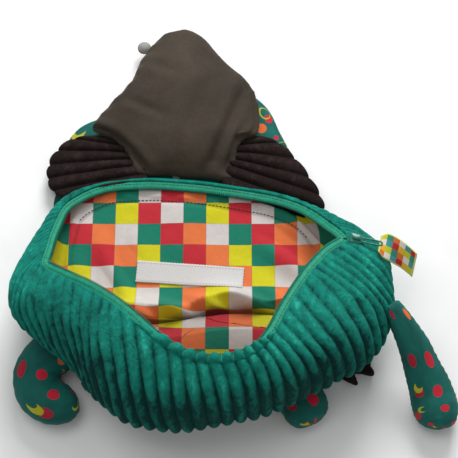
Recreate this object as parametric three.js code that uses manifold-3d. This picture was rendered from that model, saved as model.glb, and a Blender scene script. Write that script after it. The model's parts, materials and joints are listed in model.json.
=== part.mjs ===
// Kids animal backpack, lying on its back with the zip open.
// A ribbed plush bag, a checked lining, a head flap thrown back over the
// shoulder straps, two ears, two arms, two legs and a tail.
// Millimetres. X to the right, Y towards the head, Z up from the table.

import * as THREE from 'three';
import { mergeVertices } from 'three/addons/utils/BufferGeometryUtils.js';
import Module from 'manifold-3d';

const wasm = await Module();
wasm.setup();

// Clearance between pieces, and how close points are welded
const gap = 0.3;
const weldDistance = 1e-4;

// Bag body
const bodyWidth = 260;
const bodyDepth = 190;
const frontHeight = 95;
const plushWall = 3;
const backPanel = 6;
const ribPitch = 8;
const ribHeight = 1.6;
const ribOnset = 2;
const tuckDepth = 40;
const wallRows = 4;
const underRows = 3;
const underFullness = 0.35;

// Lining
const liningWall = 1;
const liningSlack = 1.2;
const liningColumns = 60;
const floorRings = 3;
const foldHeight = 6;
const foldWidth = 9;
const foldSetback = 10;
const sagHeight = 9;
const sagWidth = 22;
const sagSetback = 34;
const foldSpan = 0.62;

// Zip
const tapeWidth = 7;
const tapeThickness = 1;
const tapeSeat = 1.1;
const coilWidth = 2.2;
const coilHeight = 2.4;
const tapeSteps = 32;
const zipEndGap = 2.4;
const sliderLength = 10;
const sliderWidth = 8;
const sliderHeight = 5;
const sliderCorner = 2;
const pullerLength = 13;
const pullerWidth = 4;
const pullerThickness = 1.4;
const pullerCorner = 1.33;
const cornerSegments = 3;
const tabLength = 26;
const tabWidth = 17;
const tabThickness = 1.6;
const tabDroop = 7;
const tabSteps = 6;

// Name label
const labelWidth = 74;
const labelHeight = 16.5;
const labelThickness = 0.8;
const labelLift = 0.3;
const labelTurn = -0.075;
const labelRight = -11;
const labelBack = 25;

// Head flap
const flapLength = 121;
const flapWidth = 125;
const flapThickness = 18;
const flapColumns = 10;
const flapShift = -21;
const edgeSharpness = 0.7;
const creaseDepth = 4;
const creaseWidth = 7;
const creaseNeck = -0.1;
const creaseCorner = -0.44;
const creaseTop = 0.29;

// Ears
const earThickness = 8;
const earRibHeight = 1.6;
const columnsPerRow = 2;
const leftEarReach = 62;
const rightEarReach = 62;

// Straps
const strapWidth = 30;
const strapThickness = 4;
const strapReach = 60;
const webbingWidth = 25;
const webbingThickness = 1.5;
const webbingReach = 125;
const strapSteps = 18;
const webbingSteps = 10;
const grooveRoom = 1.2;
const edgeRounding = 1 / 3;

// Limbs
const limbWidth = 33;
const limbThickness = 25;
const armReach = 80;
const legReach = 52;
const limbSides = 10;
const leftLegTurn = 1.15;

// Tail and snout
const tailReach = 40;
const tailThickness = 3;
const tailRibHeight = 0.8;
const nostrilRadius = 4.5;
const nostrilHeight = 3.4;
const nostrilAlong = 0.865;
const nostrilLeft = -0.2;
const nostrilRight = 0.12;
const domeColumns = 10;
const domeRows = 6;

// Rim and belly of the bag, one row for each station round it, starting at
// the zip's open end and going round by the front. The x and y columns are
// shares of half the width and depth, z of the front height, tuck of the
// tuck depth, and rib says how strong the ribs are.
const stations = [
  { rimX: 0.738, rimY: 0.38, rimZ: 0.505, bellyX: 0.93, bellyY: 0.32, bellyZ: 0.41, tuck: 0.5, rib: 0.8 },
  { rimX: 0.64, rimY: 0.235, rimZ: 0.61, bellyX: 0.955, bellyY: 0.1, bellyZ: 0.4, tuck: 0.55, rib: 1 },
  { rimX: 0.555, rimY: 0.085, rimZ: 0.695, bellyX: 0.955, bellyY: -0.13, bellyZ: 0.38, tuck: 0.6, rib: 1 },
  { rimX: 0.477, rimY: -0.095, rimZ: 0.78, bellyX: 0.88, bellyY: -0.36, bellyZ: 0.38, tuck: 0.7, rib: 1 },
  { rimX: 0.408, rimY: -0.275, rimZ: 0.865, bellyX: 0.77, bellyY: -0.53, bellyZ: 0.41, tuck: 0.8, rib: 1 },
  { rimX: 0.346, rimY: -0.453, rimZ: 0.925, bellyX: 0.63, bellyY: -0.64, bellyZ: 0.44, tuck: 0.9, rib: 1 },
  { rimX: 0.277, rimY: -0.58, rimZ: 0.97, bellyX: 0.46, bellyY: -0.77, bellyZ: 0.465, tuck: 1, rib: 1 },
  { rimX: 0.154, rimY: -0.665, rimZ: 0.99, bellyX: 0.26, bellyY: -0.885, bellyZ: 0.485, tuck: 1, rib: 1 },
  { rimX: -0.015, rimY: -0.675, rimZ: 1, bellyX: 0.03, bellyY: -0.96, bellyZ: 0.505, tuck: 1, rib: 1 },
  { rimX: -0.138, rimY: -0.61, rimZ: 0.995, bellyX: -0.155, bellyY: -0.99, bellyZ: 0.505, tuck: 1, rib: 1 },
  { rimX: -0.254, rimY: -0.484, rimZ: 0.97, bellyX: -0.34, bellyY: -0.937, bellyZ: 0.475, tuck: 1, rib: 1 },
  { rimX: -0.354, rimY: -0.347, rimZ: 0.925, bellyX: -0.492, bellyY: -0.8, bellyZ: 0.43, tuck: 0.95, rib: 1 },
  { rimX: -0.454, rimY: -0.22, rimZ: 0.865, bellyX: -0.63, bellyY: -0.58, bellyZ: 0.4, tuck: 0.85, rib: 1 },
  { rimX: -0.585, rimY: -0.084, rimZ: 0.78, bellyX: -0.8, bellyY: -0.37, bellyZ: 0.4, tuck: 0.75, rib: 1 },
  { rimX: -0.723, rimY: 0.03, rimZ: 0.695, bellyX: -0.965, bellyY: -0.16, bellyZ: 0.43, tuck: 0.65, rib: 1 },
  { rimX: -0.83, rimY: 0.15, rimZ: 0.59, bellyX: -0.985, bellyY: 0.065, bellyZ: 0.42, tuck: 0.55, rib: 1 },
  { rimX: -0.83, rimY: 0.337, rimZ: 0.453, bellyX: -0.93, bellyY: 0.295, bellyZ: 0.38, tuck: 0.5, rib: 1 },
  { rimX: -0.815, rimY: 0.547, rimZ: 0.305, bellyX: -0.87, bellyY: 0.53, bellyZ: 0.25, tuck: 0.35, rib: 0.8 },
  { rimX: -0.754, rimY: 0.8, rimZ: 0.18, bellyX: -0.79, bellyY: 0.83, bellyZ: 0.12, tuck: 0.15, rib: 0.2 },
  { rimX: -0.577, rimY: 0.958, rimZ: 0.137, bellyX: -0.59, bellyY: 0.99, bellyZ: 0.085, tuck: 0.1, rib: 0 },
  { rimX: -0.346, rimY: 1, rimZ: 0.128, bellyX: -0.346, bellyY: 1.032, bellyZ: 0.08, tuck: 0.1, rib: 0 },
  { rimX: -0.077, rimY: 0.98, rimZ: 0.128, bellyX: -0.077, bellyY: 1.012, bellyZ: 0.08, tuck: 0.1, rib: 0 },
  { rimX: 0.185, rimY: 0.926, rimZ: 0.137, bellyX: 0.192, bellyY: 0.958, bellyZ: 0.085, tuck: 0.1, rib: 0 },
  { rimX: 0.385, rimY: 0.863, rimZ: 0.158, bellyX: 0.4, bellyY: 0.895, bellyZ: 0.1, tuck: 0.12, rib: 0 },
  { rimX: 0.523, rimY: 0.768, rimZ: 0.215, bellyX: 0.55, bellyY: 0.8, bellyZ: 0.15, tuck: 0.2, rib: 0.2 },
  { rimX: 0.646, rimY: 0.6, rimZ: 0.33, bellyX: 0.72, bellyY: 0.63, bellyZ: 0.25, tuck: 0.35, rib: 0.6 },
];

// Head flap from the neck to the tip of the snout. along is a share of the
// flap's length, left and right of its width, lift of the height of the straps
// under it, thick of its thickness.
const flapRows = [
  { along: -0.06, left: -0.24, right: 0.35, lift: 1, thick: 0.4 },
  { along: 0.01, left: -0.25, right: 0.35, lift: 1, thick: 0.43 },
  { along: 0.07, left: -0.27, right: 0.355, lift: 1, thick: 0.62 },
  { along: 0.14, left: -0.31, right: 0.36, lift: 1, thick: 0.82 },
  { along: 0.215, left: -0.37, right: 0.395, lift: 1, thick: 0.95 },
  { along: 0.26, left: -0.45, right: 0.47, lift: 1, thick: 1 },
  { along: 0.305, left: -0.5, right: 0.49, lift: 1, thick: 1 },
  { along: 0.38, left: -0.465, right: 0.49, lift: 1, thick: 1 },
  { along: 0.5, left: -0.38, right: 0.465, lift: 1, thick: 1 },
  { along: 0.61, left: -0.3, right: 0.425, lift: 0.85, thick: 0.98 },
  { along: 0.74, left: -0.245, right: 0.31, lift: 0.55, thick: 0.92 },
  { along: 0.84, left: -0.19, right: 0.23, lift: 0.3, thick: 0.84 },
  { along: 0.92, left: -0.13, right: 0.17, lift: 0.12, thick: 0.74 },
  { along: 0.975, left: -0.06, right: 0.1, lift: 0.08, thick: 0.6 },
  { along: 1, left: -0.01, right: 0.05, lift: 0.1, thick: 0.45 },
];

// How full a fan of cloth is from its root to its outer edge, and how soon
// it is full when going in from its sides
const fanSwell = [
  { along: 0, full: 0.65 },
  { along: 0.3, full: 1 },
  { along: 0.75, full: 1 },
  { along: 0.94, full: 0.8 },
  { along: 1, full: 0.4 },
];
const fanSideShare = 0.35;
const fanSideRun = 0.33;

// Ears. Each row is one end of the fan, as shares of the ear's reach from
// the neck's corner: the root on the flap and the outer edge.
const leftEarRows = [
  { rootX: -0.1, rootY: 0.42, edgeX: -0.38, edgeY: 0.545 },
  { rootX: -0.1, rootY: 0.37, edgeX: -0.72, edgeY: 0.49 },
  { rootX: -0.1, rootY: 0.31, edgeX: -0.9, edgeY: 0.34 },
  { rootX: -0.08, rootY: 0.24, edgeX: -0.985, edgeY: 0.16 },
  { rootX: -0.06, rootY: 0.16, edgeX: -0.985, edgeY: -0.01 },
  { rootX: 0, rootY: 0.06, edgeX: -0.92, edgeY: -0.16 },
  { rootX: 0.02, rootY: -0.06, edgeX: -0.74, edgeY: -0.27 },
];
const rightEarRows = [
  { rootX: 0.02, rootY: 0.46, edgeX: 0.24, edgeY: 0.545 },
  { rootX: 0.02, rootY: 0.4, edgeX: 0.47, edgeY: 0.44 },
  { rootX: 0.02, rootY: 0.33, edgeX: 0.66, edgeY: 0.24 },
  { rootX: 0.02, rootY: 0.25, edgeX: 0.82, edgeY: 0 },
  { rootX: 0.02, rootY: 0.16, edgeX: 0.93, edgeY: -0.22 },
  { rootX: -0.02, rootY: 0.04, edgeX: 0.96, edgeY: -0.4 },
  { rootX: -0.06, rootY: -0.12, edgeX: 0.84, edgeY: -0.52 },
];

// Straps, as shares of their reach from the middle of the neck, and the
// webbing under the back panel, as shares of its reach from the strap's end.
const leftStrapRoute = [
  { x: -0.3, y: -0.03 },
  { x: -0.34, y: 0.3 },
  { x: -0.5, y: 0.52 },
  { x: -0.78, y: 0.6 },
  { x: -1.02, y: 0.52 },
  { x: -1.13, y: 0.3 },
  { x: -1.16, y: 0.08 },
  { x: -1.2, y: -0.1 },
];
const rightStrapRoute = [
  { x: 0.28, y: -0.08 },
  { x: 0.3, y: 0.35 },
  { x: 0.4, y: 0.78 },
  { x: 0.62, y: 0.99 },
  { x: 0.86, y: 0.85 },
  { x: 1, y: 0.55 },
  { x: 1.17, y: 0.2 },
  { x: 1.36, y: -0.12 },
];
const leftWebbingRoute = [
  { x: 0.08, y: -0.3 },
  { x: 0.16, y: -0.55 },
  { x: 0.26, y: -0.8 },
];
const rightWebbingRoute = [
  { x: 0.02, y: -0.3 },
  { x: -0.02, y: -0.55 },
  { x: -0.08, y: -0.8 },
];

// Limbs: the middle line as shares of the limb's reach from its root on the
// bag, rise as a share of the way up from the table to the root, and how full
// the limb is there.
const rightArmRoute = [
  { x: 0.025, y: 0.02, rise: 1, full: 0.5 },
  { x: 0.125, y: -0.13, rise: 0.82, full: 0.82 },
  { x: 0.225, y: -0.29, rise: 0.55, full: 0.98 },
  { x: 0.31, y: -0.455, rise: 0.28, full: 1 },
  { x: 0.375, y: -0.605, rise: 0.1, full: 1 },
  { x: 0.41, y: -0.74, rise: 0, full: 0.98 },
  { x: 0.435, y: -0.855, rise: 0, full: 0.8 },
  { x: 0.44, y: -0.925, rise: 0, full: 0.42 },
];
const leftArmRoute = [
  { x: 0.08, y: 0.02, rise: 0, full: 0.6 },
  { x: 0.01, y: 0, rise: 0, full: 0.9 },
  { x: -0.09, y: -0.03, rise: 0, full: 1 },
  { x: -0.175, y: -0.12, rise: 0, full: 1 },
  { x: -0.205, y: -0.23, rise: 0, full: 1 },
  { x: -0.18, y: -0.34, rise: 0, full: 1 },
  { x: -0.1, y: -0.42, rise: 0, full: 1 },
  { x: 0, y: -0.44, rise: 0, full: 0.98 },
  { x: 0.09, y: -0.415, rise: 0, full: 0.8 },
  { x: 0.145, y: -0.39, rise: 0, full: 0.42 },
];
const legRoute = [
  { along: 0, full: 0.45 },
  { along: 0.1, full: 0.78 },
  { along: 0.25, full: 0.95 },
  { along: 0.5, full: 1 },
  { along: 0.78, full: 1 },
  { along: 0.92, full: 0.8 },
  { along: 1, full: 0.45 },
];

// Tail tuft, as shares of its reach from its root on the edge of the base
const tailRows = [
  { rootX: 0.1, rootY: 0.06, edgeX: 0.68, edgeY: -0.2 },
  { rootX: 0.08, rootY: 0.02, edgeX: 0.66, edgeY: -0.38 },
  { rootX: 0.06, rootY: -0.02, edgeX: 0.7, edgeY: -0.55 },
  { rootX: 0.04, rootY: -0.05, edgeX: 0.38, edgeY: -0.53 },
  { rootX: 0.02, rootY: -0.08, edgeX: 0.43, edgeY: -0.72 },
  { rootX: 0, rootY: -0.1, edgeX: 0.17, edgeY: -0.63 },
];

// Where things sit round the bag, counted in stations
const places = {
  sliderEnd: 0,
  leftEnd: 15.5,
  rightArm: 2,
  rightArmRow: 3,
  leftArm: 12.9,
  leftArmRow: 5,
  rightLeg: 5.7,
  leftLeg: 10.4,
  tail: 3.5,
};

// Colours of the real thing
const colours = {
  plush: 0x148c6e,
  lining: 0xd7d21e,
  tape: 0x149673,
  slider: 0x10785c,
  tab: 0xeb7d46,
  label: 0xe8e6e2,
  velour: 0x463c32,
  ear: 0x2d2323,
  print: 0x0a645a,
  webbing: 0x0c5c50,
  nostril: 0x8c8c88,
};

// Joins rings of points into one closed body with a fan on each end.
function loft(rings) {
  const points = [];
  const faces = [];
  const starts = rings.map((ring) => points.push(...ring) - ring.length);
  const middle = (ring) => {
    const centre = new THREE.Vector3();
    ring.forEach((point) => centre.add(point));
    return points.push(centre.divideScalar(ring.length)) - 1;
  };
  for (let k = 0; k + 1 < rings.length; k += 1) {
    const low = rings[k].length;
    const high = rings[k + 1].length;
    let i = 0;
    let j = 0;
    while (i < low || j < high) {
      const a = starts[k] + (i % low);
      const b = starts[k + 1] + (j % high);
      if (j >= high || (i < low && (i + 1) * high <= (j + 1) * low)) {
        faces.push(a, starts[k] + ((i + 1) % low), b);
        i += 1;
      } else {
        faces.push(a, starts[k + 1] + ((j + 1) % high), b);
        j += 1;
      }
    }
  }
  const first = middle(rings[0]);
  const last = middle(rings[rings.length - 1]);
  const lastStart = starts[rings.length - 1];
  rings[0].forEach((_, i) => {
    faces.push(first, (i + 1) % rings[0].length, i);
  });
  rings[rings.length - 1].forEach((_, i) => {
    faces.push(last, lastStart + i, lastStart + ((i + 1) % rings[rings.length - 1].length));
  });
  const geometry = new THREE.BufferGeometry().setFromPoints(points);
  geometry.setIndex(facingOut(points, faces));
  return geometry;
}

// Turns the faces round where the body would be inside out.
function facingOut(points, faces) {
  let volume = 0;
  for (let k = 0; k < faces.length; k += 3) {
    const cross = points[faces[k + 1]].clone().cross(points[faces[k + 2]]);
    volume += points[faces[k]].dot(cross);
  }
  if (volume > 0) return faces;
  const turned = [];
  for (let k = 0; k < faces.length; k += 3) {
    turned.push(faces[k], faces[k + 2], faces[k + 1]);
  }
  return turned;
}

function toManifold(geometry) {
  const bare = geometry.clone();
  bare.deleteAttribute('normal');
  bare.deleteAttribute('uv');
  const merged = mergeVertices(bare, weldDistance);
  return new wasm.Manifold(new wasm.Mesh({
    numProp: 3,
    vertProperties: new Float32Array(merged.attributes.position.array),
    triVerts: new Uint32Array(merged.index.array),
  }));
}

function fromManifold(solid) {
  const mesh = solid.getMesh();
  const geometry = new THREE.BufferGeometry();
  geometry.setAttribute('position', new THREE.BufferAttribute(mesh.vertProperties, 3));
  geometry.setIndex(new THREE.BufferAttribute(mesh.triVerts, 1));
  return geometry;
}

// Cuts the space of each neighbour out of a piece and keeps its largest part.
function seated(geometry, neighbours) {
  let solid = toManifold(geometry);
  neighbours.forEach((neighbour) => {
    solid = solid.subtract(toManifold(neighbour));
  });
  const parts = solid.decompose();
  parts.sort((a, b) => b.volume() - a.volume());
  return fromManifold(parts[0]);
}

// The two curves round the bag, the tuck and the ribs between the stations
const halfWidth = bodyWidth / 2;
const halfDepth = bodyDepth / 2;
const rimCurve = new THREE.CatmullRomCurve3(stations.map((row) => new THREE.Vector3(
  row.rimX * halfWidth, row.rimY * halfDepth, row.rimZ * frontHeight,
)), true);
const bellyCurve = new THREE.CatmullRomCurve3(stations.map((row) => new THREE.Vector3(
  row.bellyX * halfWidth, row.bellyY * halfDepth, row.bellyZ * frontHeight,
)), true);
const neckPlace = 20.5 / stations.length;
const ribCount = Math.round(bellyCurve.getLength() / ribPitch);

function between(column, t) {
  const place = (((t % 1) + 1) % 1) * stations.length;
  const row = Math.floor(place);
  const next = stations[(row + 1) % stations.length];
  return THREE.MathUtils.lerp(stations[row % stations.length][column], next[column], place - row);
}

// One line down the wall from the rim over the belly to the edge of the base
function wallLine(t) {
  const rim = rimCurve.getPoint(t);
  const belly = bellyCurve.getPoint(t);
  const inward = inwardAt(bellyCurve, t);
  const base = belly.clone().addScaledVector(inward, between('tuck', t) * tuckDepth).setZ(0);
  const line = [];
  for (let j = 0; j <= wallRows; j += 1) {
    const turn = (j / wallRows) * Math.PI / 2;
    const point = rim.clone().lerp(belly, Math.sin(turn));
    line.push(point.setZ(belly.z + (rim.z - belly.z) * Math.cos(turn)));
  }
  for (let j = 1; j <= underRows; j += 1) {
    const share = j / underRows;
    const turn = share * Math.PI / 2;
    const out = THREE.MathUtils.lerp(1 - share, Math.cos(turn), underFullness);
    const low = THREE.MathUtils.lerp(1 - share, 1 - Math.sin(turn), underFullness);
    const point = base.clone().lerp(belly, out);
    line.push(point.setZ(belly.z * low));
  }
  return line;
}

// The level direction into the bag from a curve that runs round it clockwise
function inwardAt(curve, t) {
  const along = curve.getTangent(t).setZ(0).normalize();
  return new THREE.Vector3(along.y, -along.x, 0);
}

// Rings of the wall, each spot with the normal that its thickness follows
function wallRings(columns) {
  const turns = Array.from({ length: columns }, (_, i) => bellyCurve.getUtoTmapping(i / columns));
  const lines = turns.map(wallLine);
  const rows = lines[0].length;
  return lines[0].map((_, j) => lines.map((line, i) => {
    const next = lines[(i + 1) % columns][j];
    const before = lines[(i + columns - 1) % columns][j];
    const round = next.clone().sub(before);
    const down = line[Math.min(j + 1, rows - 1)].clone().sub(line[Math.max(j - 1, 0)]);
    const normal = round.cross(down).normalize();
    return { point: line[j], normal, t: turns[i], row: j / (rows - 1) };
  }));
}

// The wall's rings moved along their normals, never under the given height,
// with the last ring at that height
function grownRings(rings, growth, floor) {
  const grown = rings.map((ring) => ring.map((spot, i) => {
    const point = spot.point.clone().addScaledVector(spot.normal, growth(spot, i));
    return point.setZ(Math.max(point.z, floor));
  }));
  grown[grown.length - 1].forEach((point) => point.setZ(floor));
  return grown;
}

// How strong the ribs are at a spot: none at the rim or on the base
function ribRise(spot) {
  const fade = Math.min(1, ribOnset * Math.sin(spot.row * Math.PI));
  return between('rib', spot.t) * fade * ribHeight;
}

// The whole space of the bag grown by a clearance, its mouth closed
function bagSpace(clearance) {
  const rings = grownRings(wallRings(ribCount), (spot) => ribRise(spot) + clearance, -clearance);
  return loft(rings.reverse());
}

function shell(grooves) {
  const crest = (spot, i) => (i % 2 ? ribRise(spot) : 0);
  const outer = grownRings(wallRings(ribCount * 2), crest, 0);
  const inner = grownRings(wallRings(liningColumns), () => -plushWall, backPanel);
  return seated(loft([...outer.reverse(), ...inner]), grooves);
}

// The lining's floor: a fold across it and a slack hump before the front
function floorRise(x, y) {
  const hill = (distance, width) => Math.max(0, 1 - (distance / width) ** 2) ** 2;
  const side = hill(x, halfWidth * foldSpan);
  const fold = foldHeight * hill(y + foldSetback, foldWidth);
  const sag = sagHeight * hill(y + sagSetback, sagWidth);
  return side * (fold + sag);
}

function lining() {
  const rings = wallRings(liningColumns);
  const outside = plushWall + liningSlack;
  const floor = backPanel + gap;
  const outer = grownRings(rings, () => -outside, floor);
  const inner = grownRings(rings, () => -outside - liningWall, floor + liningWall);
  const centre = new THREE.Vector3(0, -foldSetback, 0);
  const floorRing = (edge, level, share) => edge.map((point) => {
    const spot = centre.clone().lerp(point, share);
    return spot.setZ(level + floorRise(spot.x, spot.y));
  });
  const lower = [];
  const upper = [];
  for (let k = 1; k < floorRings; k += 1) {
    lower.push(floorRing(outer[outer.length - 1], floor, k / floorRings));
    upper.unshift(floorRing(inner[inner.length - 1], floor + liningWall, k / floorRings));
  }
  return loft([...lower, ...outer.reverse(), ...inner, ...upper]);
}

// A band along a route: its section is given across and up at each step
function band(centres, acrosses, section) {
  return loft(centres.map((centre, i) => section.map(([across, up]) => {
    const point = centre.clone().addScaledVector(acrosses[i], across);
    return point.setZ(point.z + up);
  })));
}

// Zip tape on one side of the mouth, with the coil as a bead on its free edge
function zipTape(from, to) {
  const step = zipEndGap / rimCurve.getLength();
  const turns = Array.from({ length: tapeSteps + 1 }, (_, i) => (
    THREE.MathUtils.lerp(from / stations.length + step, to / stations.length - step, i / tapeSteps)
  ));
  const centres = turns.map((t) => {
    const point = rimCurve.getPoint(t % 1);
    return point.setZ(point.z - plushWall / 2);
  });
  const half = tapeThickness / 2;
  const bead = coilHeight / 2;
  const shoulder = tapeWidth - coilWidth;
  return band(centres, turns.map((t) => inwardAt(rimCurve, t % 1)), [
    [tapeSeat, -half],
    [shoulder, -half],
    [shoulder, -bead],
    [tapeWidth, -bead],
    [tapeWidth, bead],
    [shoulder, bead],
    [shoulder, half],
    [tapeSeat, half],
  ]);
}

// The slider, its puller and the cloth tab lie in one line over the shoulder
const zipEnd = rimCurve.getPoint(places.sliderEnd / stations.length);
const zipHeading = bellyCurve.getPoint(places.sliderEnd / stations.length)
  .sub(zipEnd).setZ(0).normalize();

function roundedBox(length, width, height, radius) {
  const shape = new THREE.Shape();
  const x = length / 2 - radius;
  const y = width / 2 - radius;
  shape.absarc(x, y, radius, 0, Math.PI / 2);
  shape.absarc(-x, y, radius, Math.PI / 2, Math.PI);
  shape.absarc(-x, -y, radius, Math.PI, Math.PI * 1.5);
  shape.absarc(x, -y, radius, Math.PI * 1.5, Math.PI * 2);
  return new THREE.ExtrudeGeometry(shape, {
    depth: height,
    bevelEnabled: false,
    curveSegments: cornerSegments,
  });
}

// Lays a piece made along X on the line of the zip's end, at a distance
// along it and a height over the rim
function onZipLine(geometry, distance, height) {
  geometry.rotateZ(Math.atan2(zipHeading.y, zipHeading.x));
  const place = zipEnd.clone().addScaledVector(zipHeading, distance);
  return geometry.translate(place.x, place.y, place.z + height);
}

function slider() {
  const body = roundedBox(sliderLength, sliderWidth, sliderHeight, sliderCorner);
  return seated(onZipLine(body, sliderLength / 2, gap), [bagSpace(gap)]);
}

function puller() {
  const bar = roundedBox(pullerLength, pullerWidth, pullerThickness, pullerCorner);
  const distance = sliderLength + gap + pullerLength / 2;
  return onZipLine(bar, distance, gap + sliderHeight / 2);
}

function tab() {
  const start = sliderLength + pullerLength + 2 * gap;
  const centres = [];
  const across = new THREE.Vector3(-zipHeading.y, zipHeading.x, 0);
  for (let i = 0; i <= tabSteps; i += 1) {
    const share = i / tabSteps;
    const centre = zipEnd.clone().addScaledVector(zipHeading, start + share * tabLength);
    centre.z += gap + sliderHeight / 2 - tabDroop * share ** 2;
    centres.push(centre);
  }
  const half = tabWidth / 2;
  return band(centres, centres.map(() => across), [
    [-half, 0],
    [half, 0],
    [half, tabThickness],
    [-half, tabThickness],
  ]);
}

function label() {
  const plate = new THREE.BoxGeometry(labelWidth, labelHeight, labelThickness);
  plate.rotateZ(labelTurn);
  const level = backPanel + liningWall + 2 * gap + labelThickness / 2 + labelLift;
  return plate.translate(labelRight, labelBack, level);
}

// Head flap: a filled pad lofted from the neck to the snout
const neckY = bellyCurve.getPoint(neckPlace).y;
function flap(clearance) {
  const sides = 2 * flapColumns;
  return loft(flapRows.map((row, r) => {
    const y = neckY + gap + row.along * flapLength;
    const left = flapShift + row.left * flapWidth - clearance;
    const right = flapShift + row.right * flapWidth + clearance;
    const thick = row.thick * flapThickness + 2 * clearance;
    const low = row.lift * (strapThickness + gap) - clearance;
    const end = r === 0 ? -clearance : clearance * (r / (flapRows.length - 1));
    return Array.from({ length: sides }, (_, k) => {
      const turn = (k / sides) * 2 * Math.PI;
      const side = Math.sign(Math.cos(turn)) * Math.abs(Math.cos(turn)) ** edgeSharpness;
      const rise = Math.sign(Math.sin(turn)) * Math.abs(Math.sin(turn)) ** edgeSharpness;
      const x = (left + right) / 2 + side * (right - left) / 2;
      const dent = rise > 0 ? rise * creaseAt(x, y) : 0;
      return new THREE.Vector3(x, y + end, low + thick * (0.5 + rise / 2) - dent);
    });
  }));
}

// The crease runs from the flap's left corner down to the neck
function creaseAt(x, y) {
  const neck = new THREE.Vector2(flapShift + creaseNeck * flapWidth, neckY);
  const corner = new THREE.Vector2(
    flapShift + creaseCorner * flapWidth,
    neckY + creaseTop * flapLength,
  );
  const run = corner.clone().sub(neck).normalize();
  const offset = new THREE.Vector2(x, y).sub(neck);
  const distance = offset.cross(run) / creaseWidth;
  const along = THREE.MathUtils.clamp(offset.dot(run) / creaseWidth, 0, 1);
  return creaseDepth * along * Math.exp(-distance * distance);
}

// A flat fan of cloth from a root line to an outer edge, ribbed on its top
function fan(rows, origin, reach, thickness, crestHeight, bottom) {
  const line = (x, y) => new THREE.CatmullRomCurve3(rows.map((row) => new THREE.Vector3(
    origin.x + row[x] * reach, origin.y + row[y] * reach, 0,
  )));
  const root = line('rootX', 'rootY');
  const edge = line('edgeX', 'edgeY');
  const columns = (rows.length - 1) * columnsPerRow;
  return loft(Array.from({ length: columns + 1 }, (_, i) => {
    const t = i / columns;
    const side = Math.min(1, fanSideShare + Math.min(t, 1 - t) / fanSideRun);
    const crest = i % 2 ? crestHeight : 0;
    const face = (up) => fanSwell.map((stop) => {
      const point = root.getPoint(t).lerp(edge.getPoint(t), stop.along);
      const half = stop.full * (side * thickness / 2 + (up > 0 ? crest : 0));
      return point.setZ(bottom + thickness / 2 + up * half);
    });
    return [...face(1), ...face(-1).reverse()];
  }));
}

// A flat strap or webbing along a route on the table
function routeCurve(route, origin, reach) {
  return new THREE.CatmullRomCurve3(route.map((row) => new THREE.Vector3(
    origin.x + row.x * reach, origin.y + row.y * reach, 0,
  )));
}

function strip(curve, width, bottom, top, steps) {
  const shares = Array.from({ length: steps + 1 }, (_, i) => i / steps);
  const acrosses = shares.map((u) => {
    const along = curve.getTangentAt(u);
    return new THREE.Vector3(-along.y, along.x, 0);
  });
  const half = width / 2;
  const round = (top - bottom) * edgeRounding;
  return band(shares.map((u) => curve.getPointAt(u)), acrosses, [
    [-half, bottom],
    [half, bottom],
    [half, top - round],
    [half - round, top],
    [round - half, top],
    [-half, top - round],
  ]);
}

// A stuffed limb along its middle line
function limb(centres, fulls) {
  const curve = new THREE.CatmullRomCurve3(centres);
  const up = new THREE.Vector3(0, 0, 1);
  const last = centres.length - 1;
  return loft(centres.map((centre, i) => {
    const along = curve.getTangent(i / last);
    const side = along.clone().cross(up).normalize();
    const over = side.clone().cross(along);
    return Array.from({ length: limbSides }, (_, k) => {
      const turn = (k / limbSides) * 2 * Math.PI;
      const point = centre.clone();
      point.addScaledVector(side, Math.cos(turn) * fulls[i] * limbWidth / 2);
      return point.addScaledVector(over, Math.sin(turn) * fulls[i] * limbThickness / 2);
    });
  }));
}

function arm(route, place, row) {
  const root = wallLine(place / stations.length)[row];
  const rest = limbThickness / 2;
  const centres = route.map((stop) => new THREE.Vector3(
    root.x + stop.x * armReach,
    root.y + stop.y * armReach,
    THREE.MathUtils.lerp(rest, root.z, stop.rise),
  ));
  return seated(limb(centres, route.map((stop) => stop.full)), [bagSpace(gap)]);
}

function leg(place, turn) {
  const t = place / stations.length;
  const line = wallLine(t);
  const root = line[line.length - 1];
  const heading = inwardAt(bellyCurve, t).negate();
  heading.applyAxisAngle(new THREE.Vector3(0, 0, 1), turn);
  const centres = legRoute.map((stop) => {
    const centre = root.clone().addScaledVector(heading, stop.along * legReach);
    return centre.setZ(limbThickness / 2);
  });
  return seated(limb(centres, legRoute.map((stop) => stop.full)), [bagSpace(gap)]);
}

// A small domed nostril on the side of the snout
function nostril(x, y, z) {
  const dome = new THREE.SphereGeometry(nostrilRadius, domeColumns, domeRows);
  dome.scale(1, 1, nostrilHeight / nostrilRadius);
  dome.translate(x, y, z);
  return seated(dome, [flap(gap)]);
}

const model = new THREE.Group();
function add(name, geometry, colour, roughness) {
  geometry.computeVertexNormals();
  const material = new THREE.MeshStandardMaterial({ color: colour, roughness, metalness: 0 });
  const mesh = new THREE.Mesh(geometry, material);
  mesh.name = name;
  model.add(mesh);
}

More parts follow.
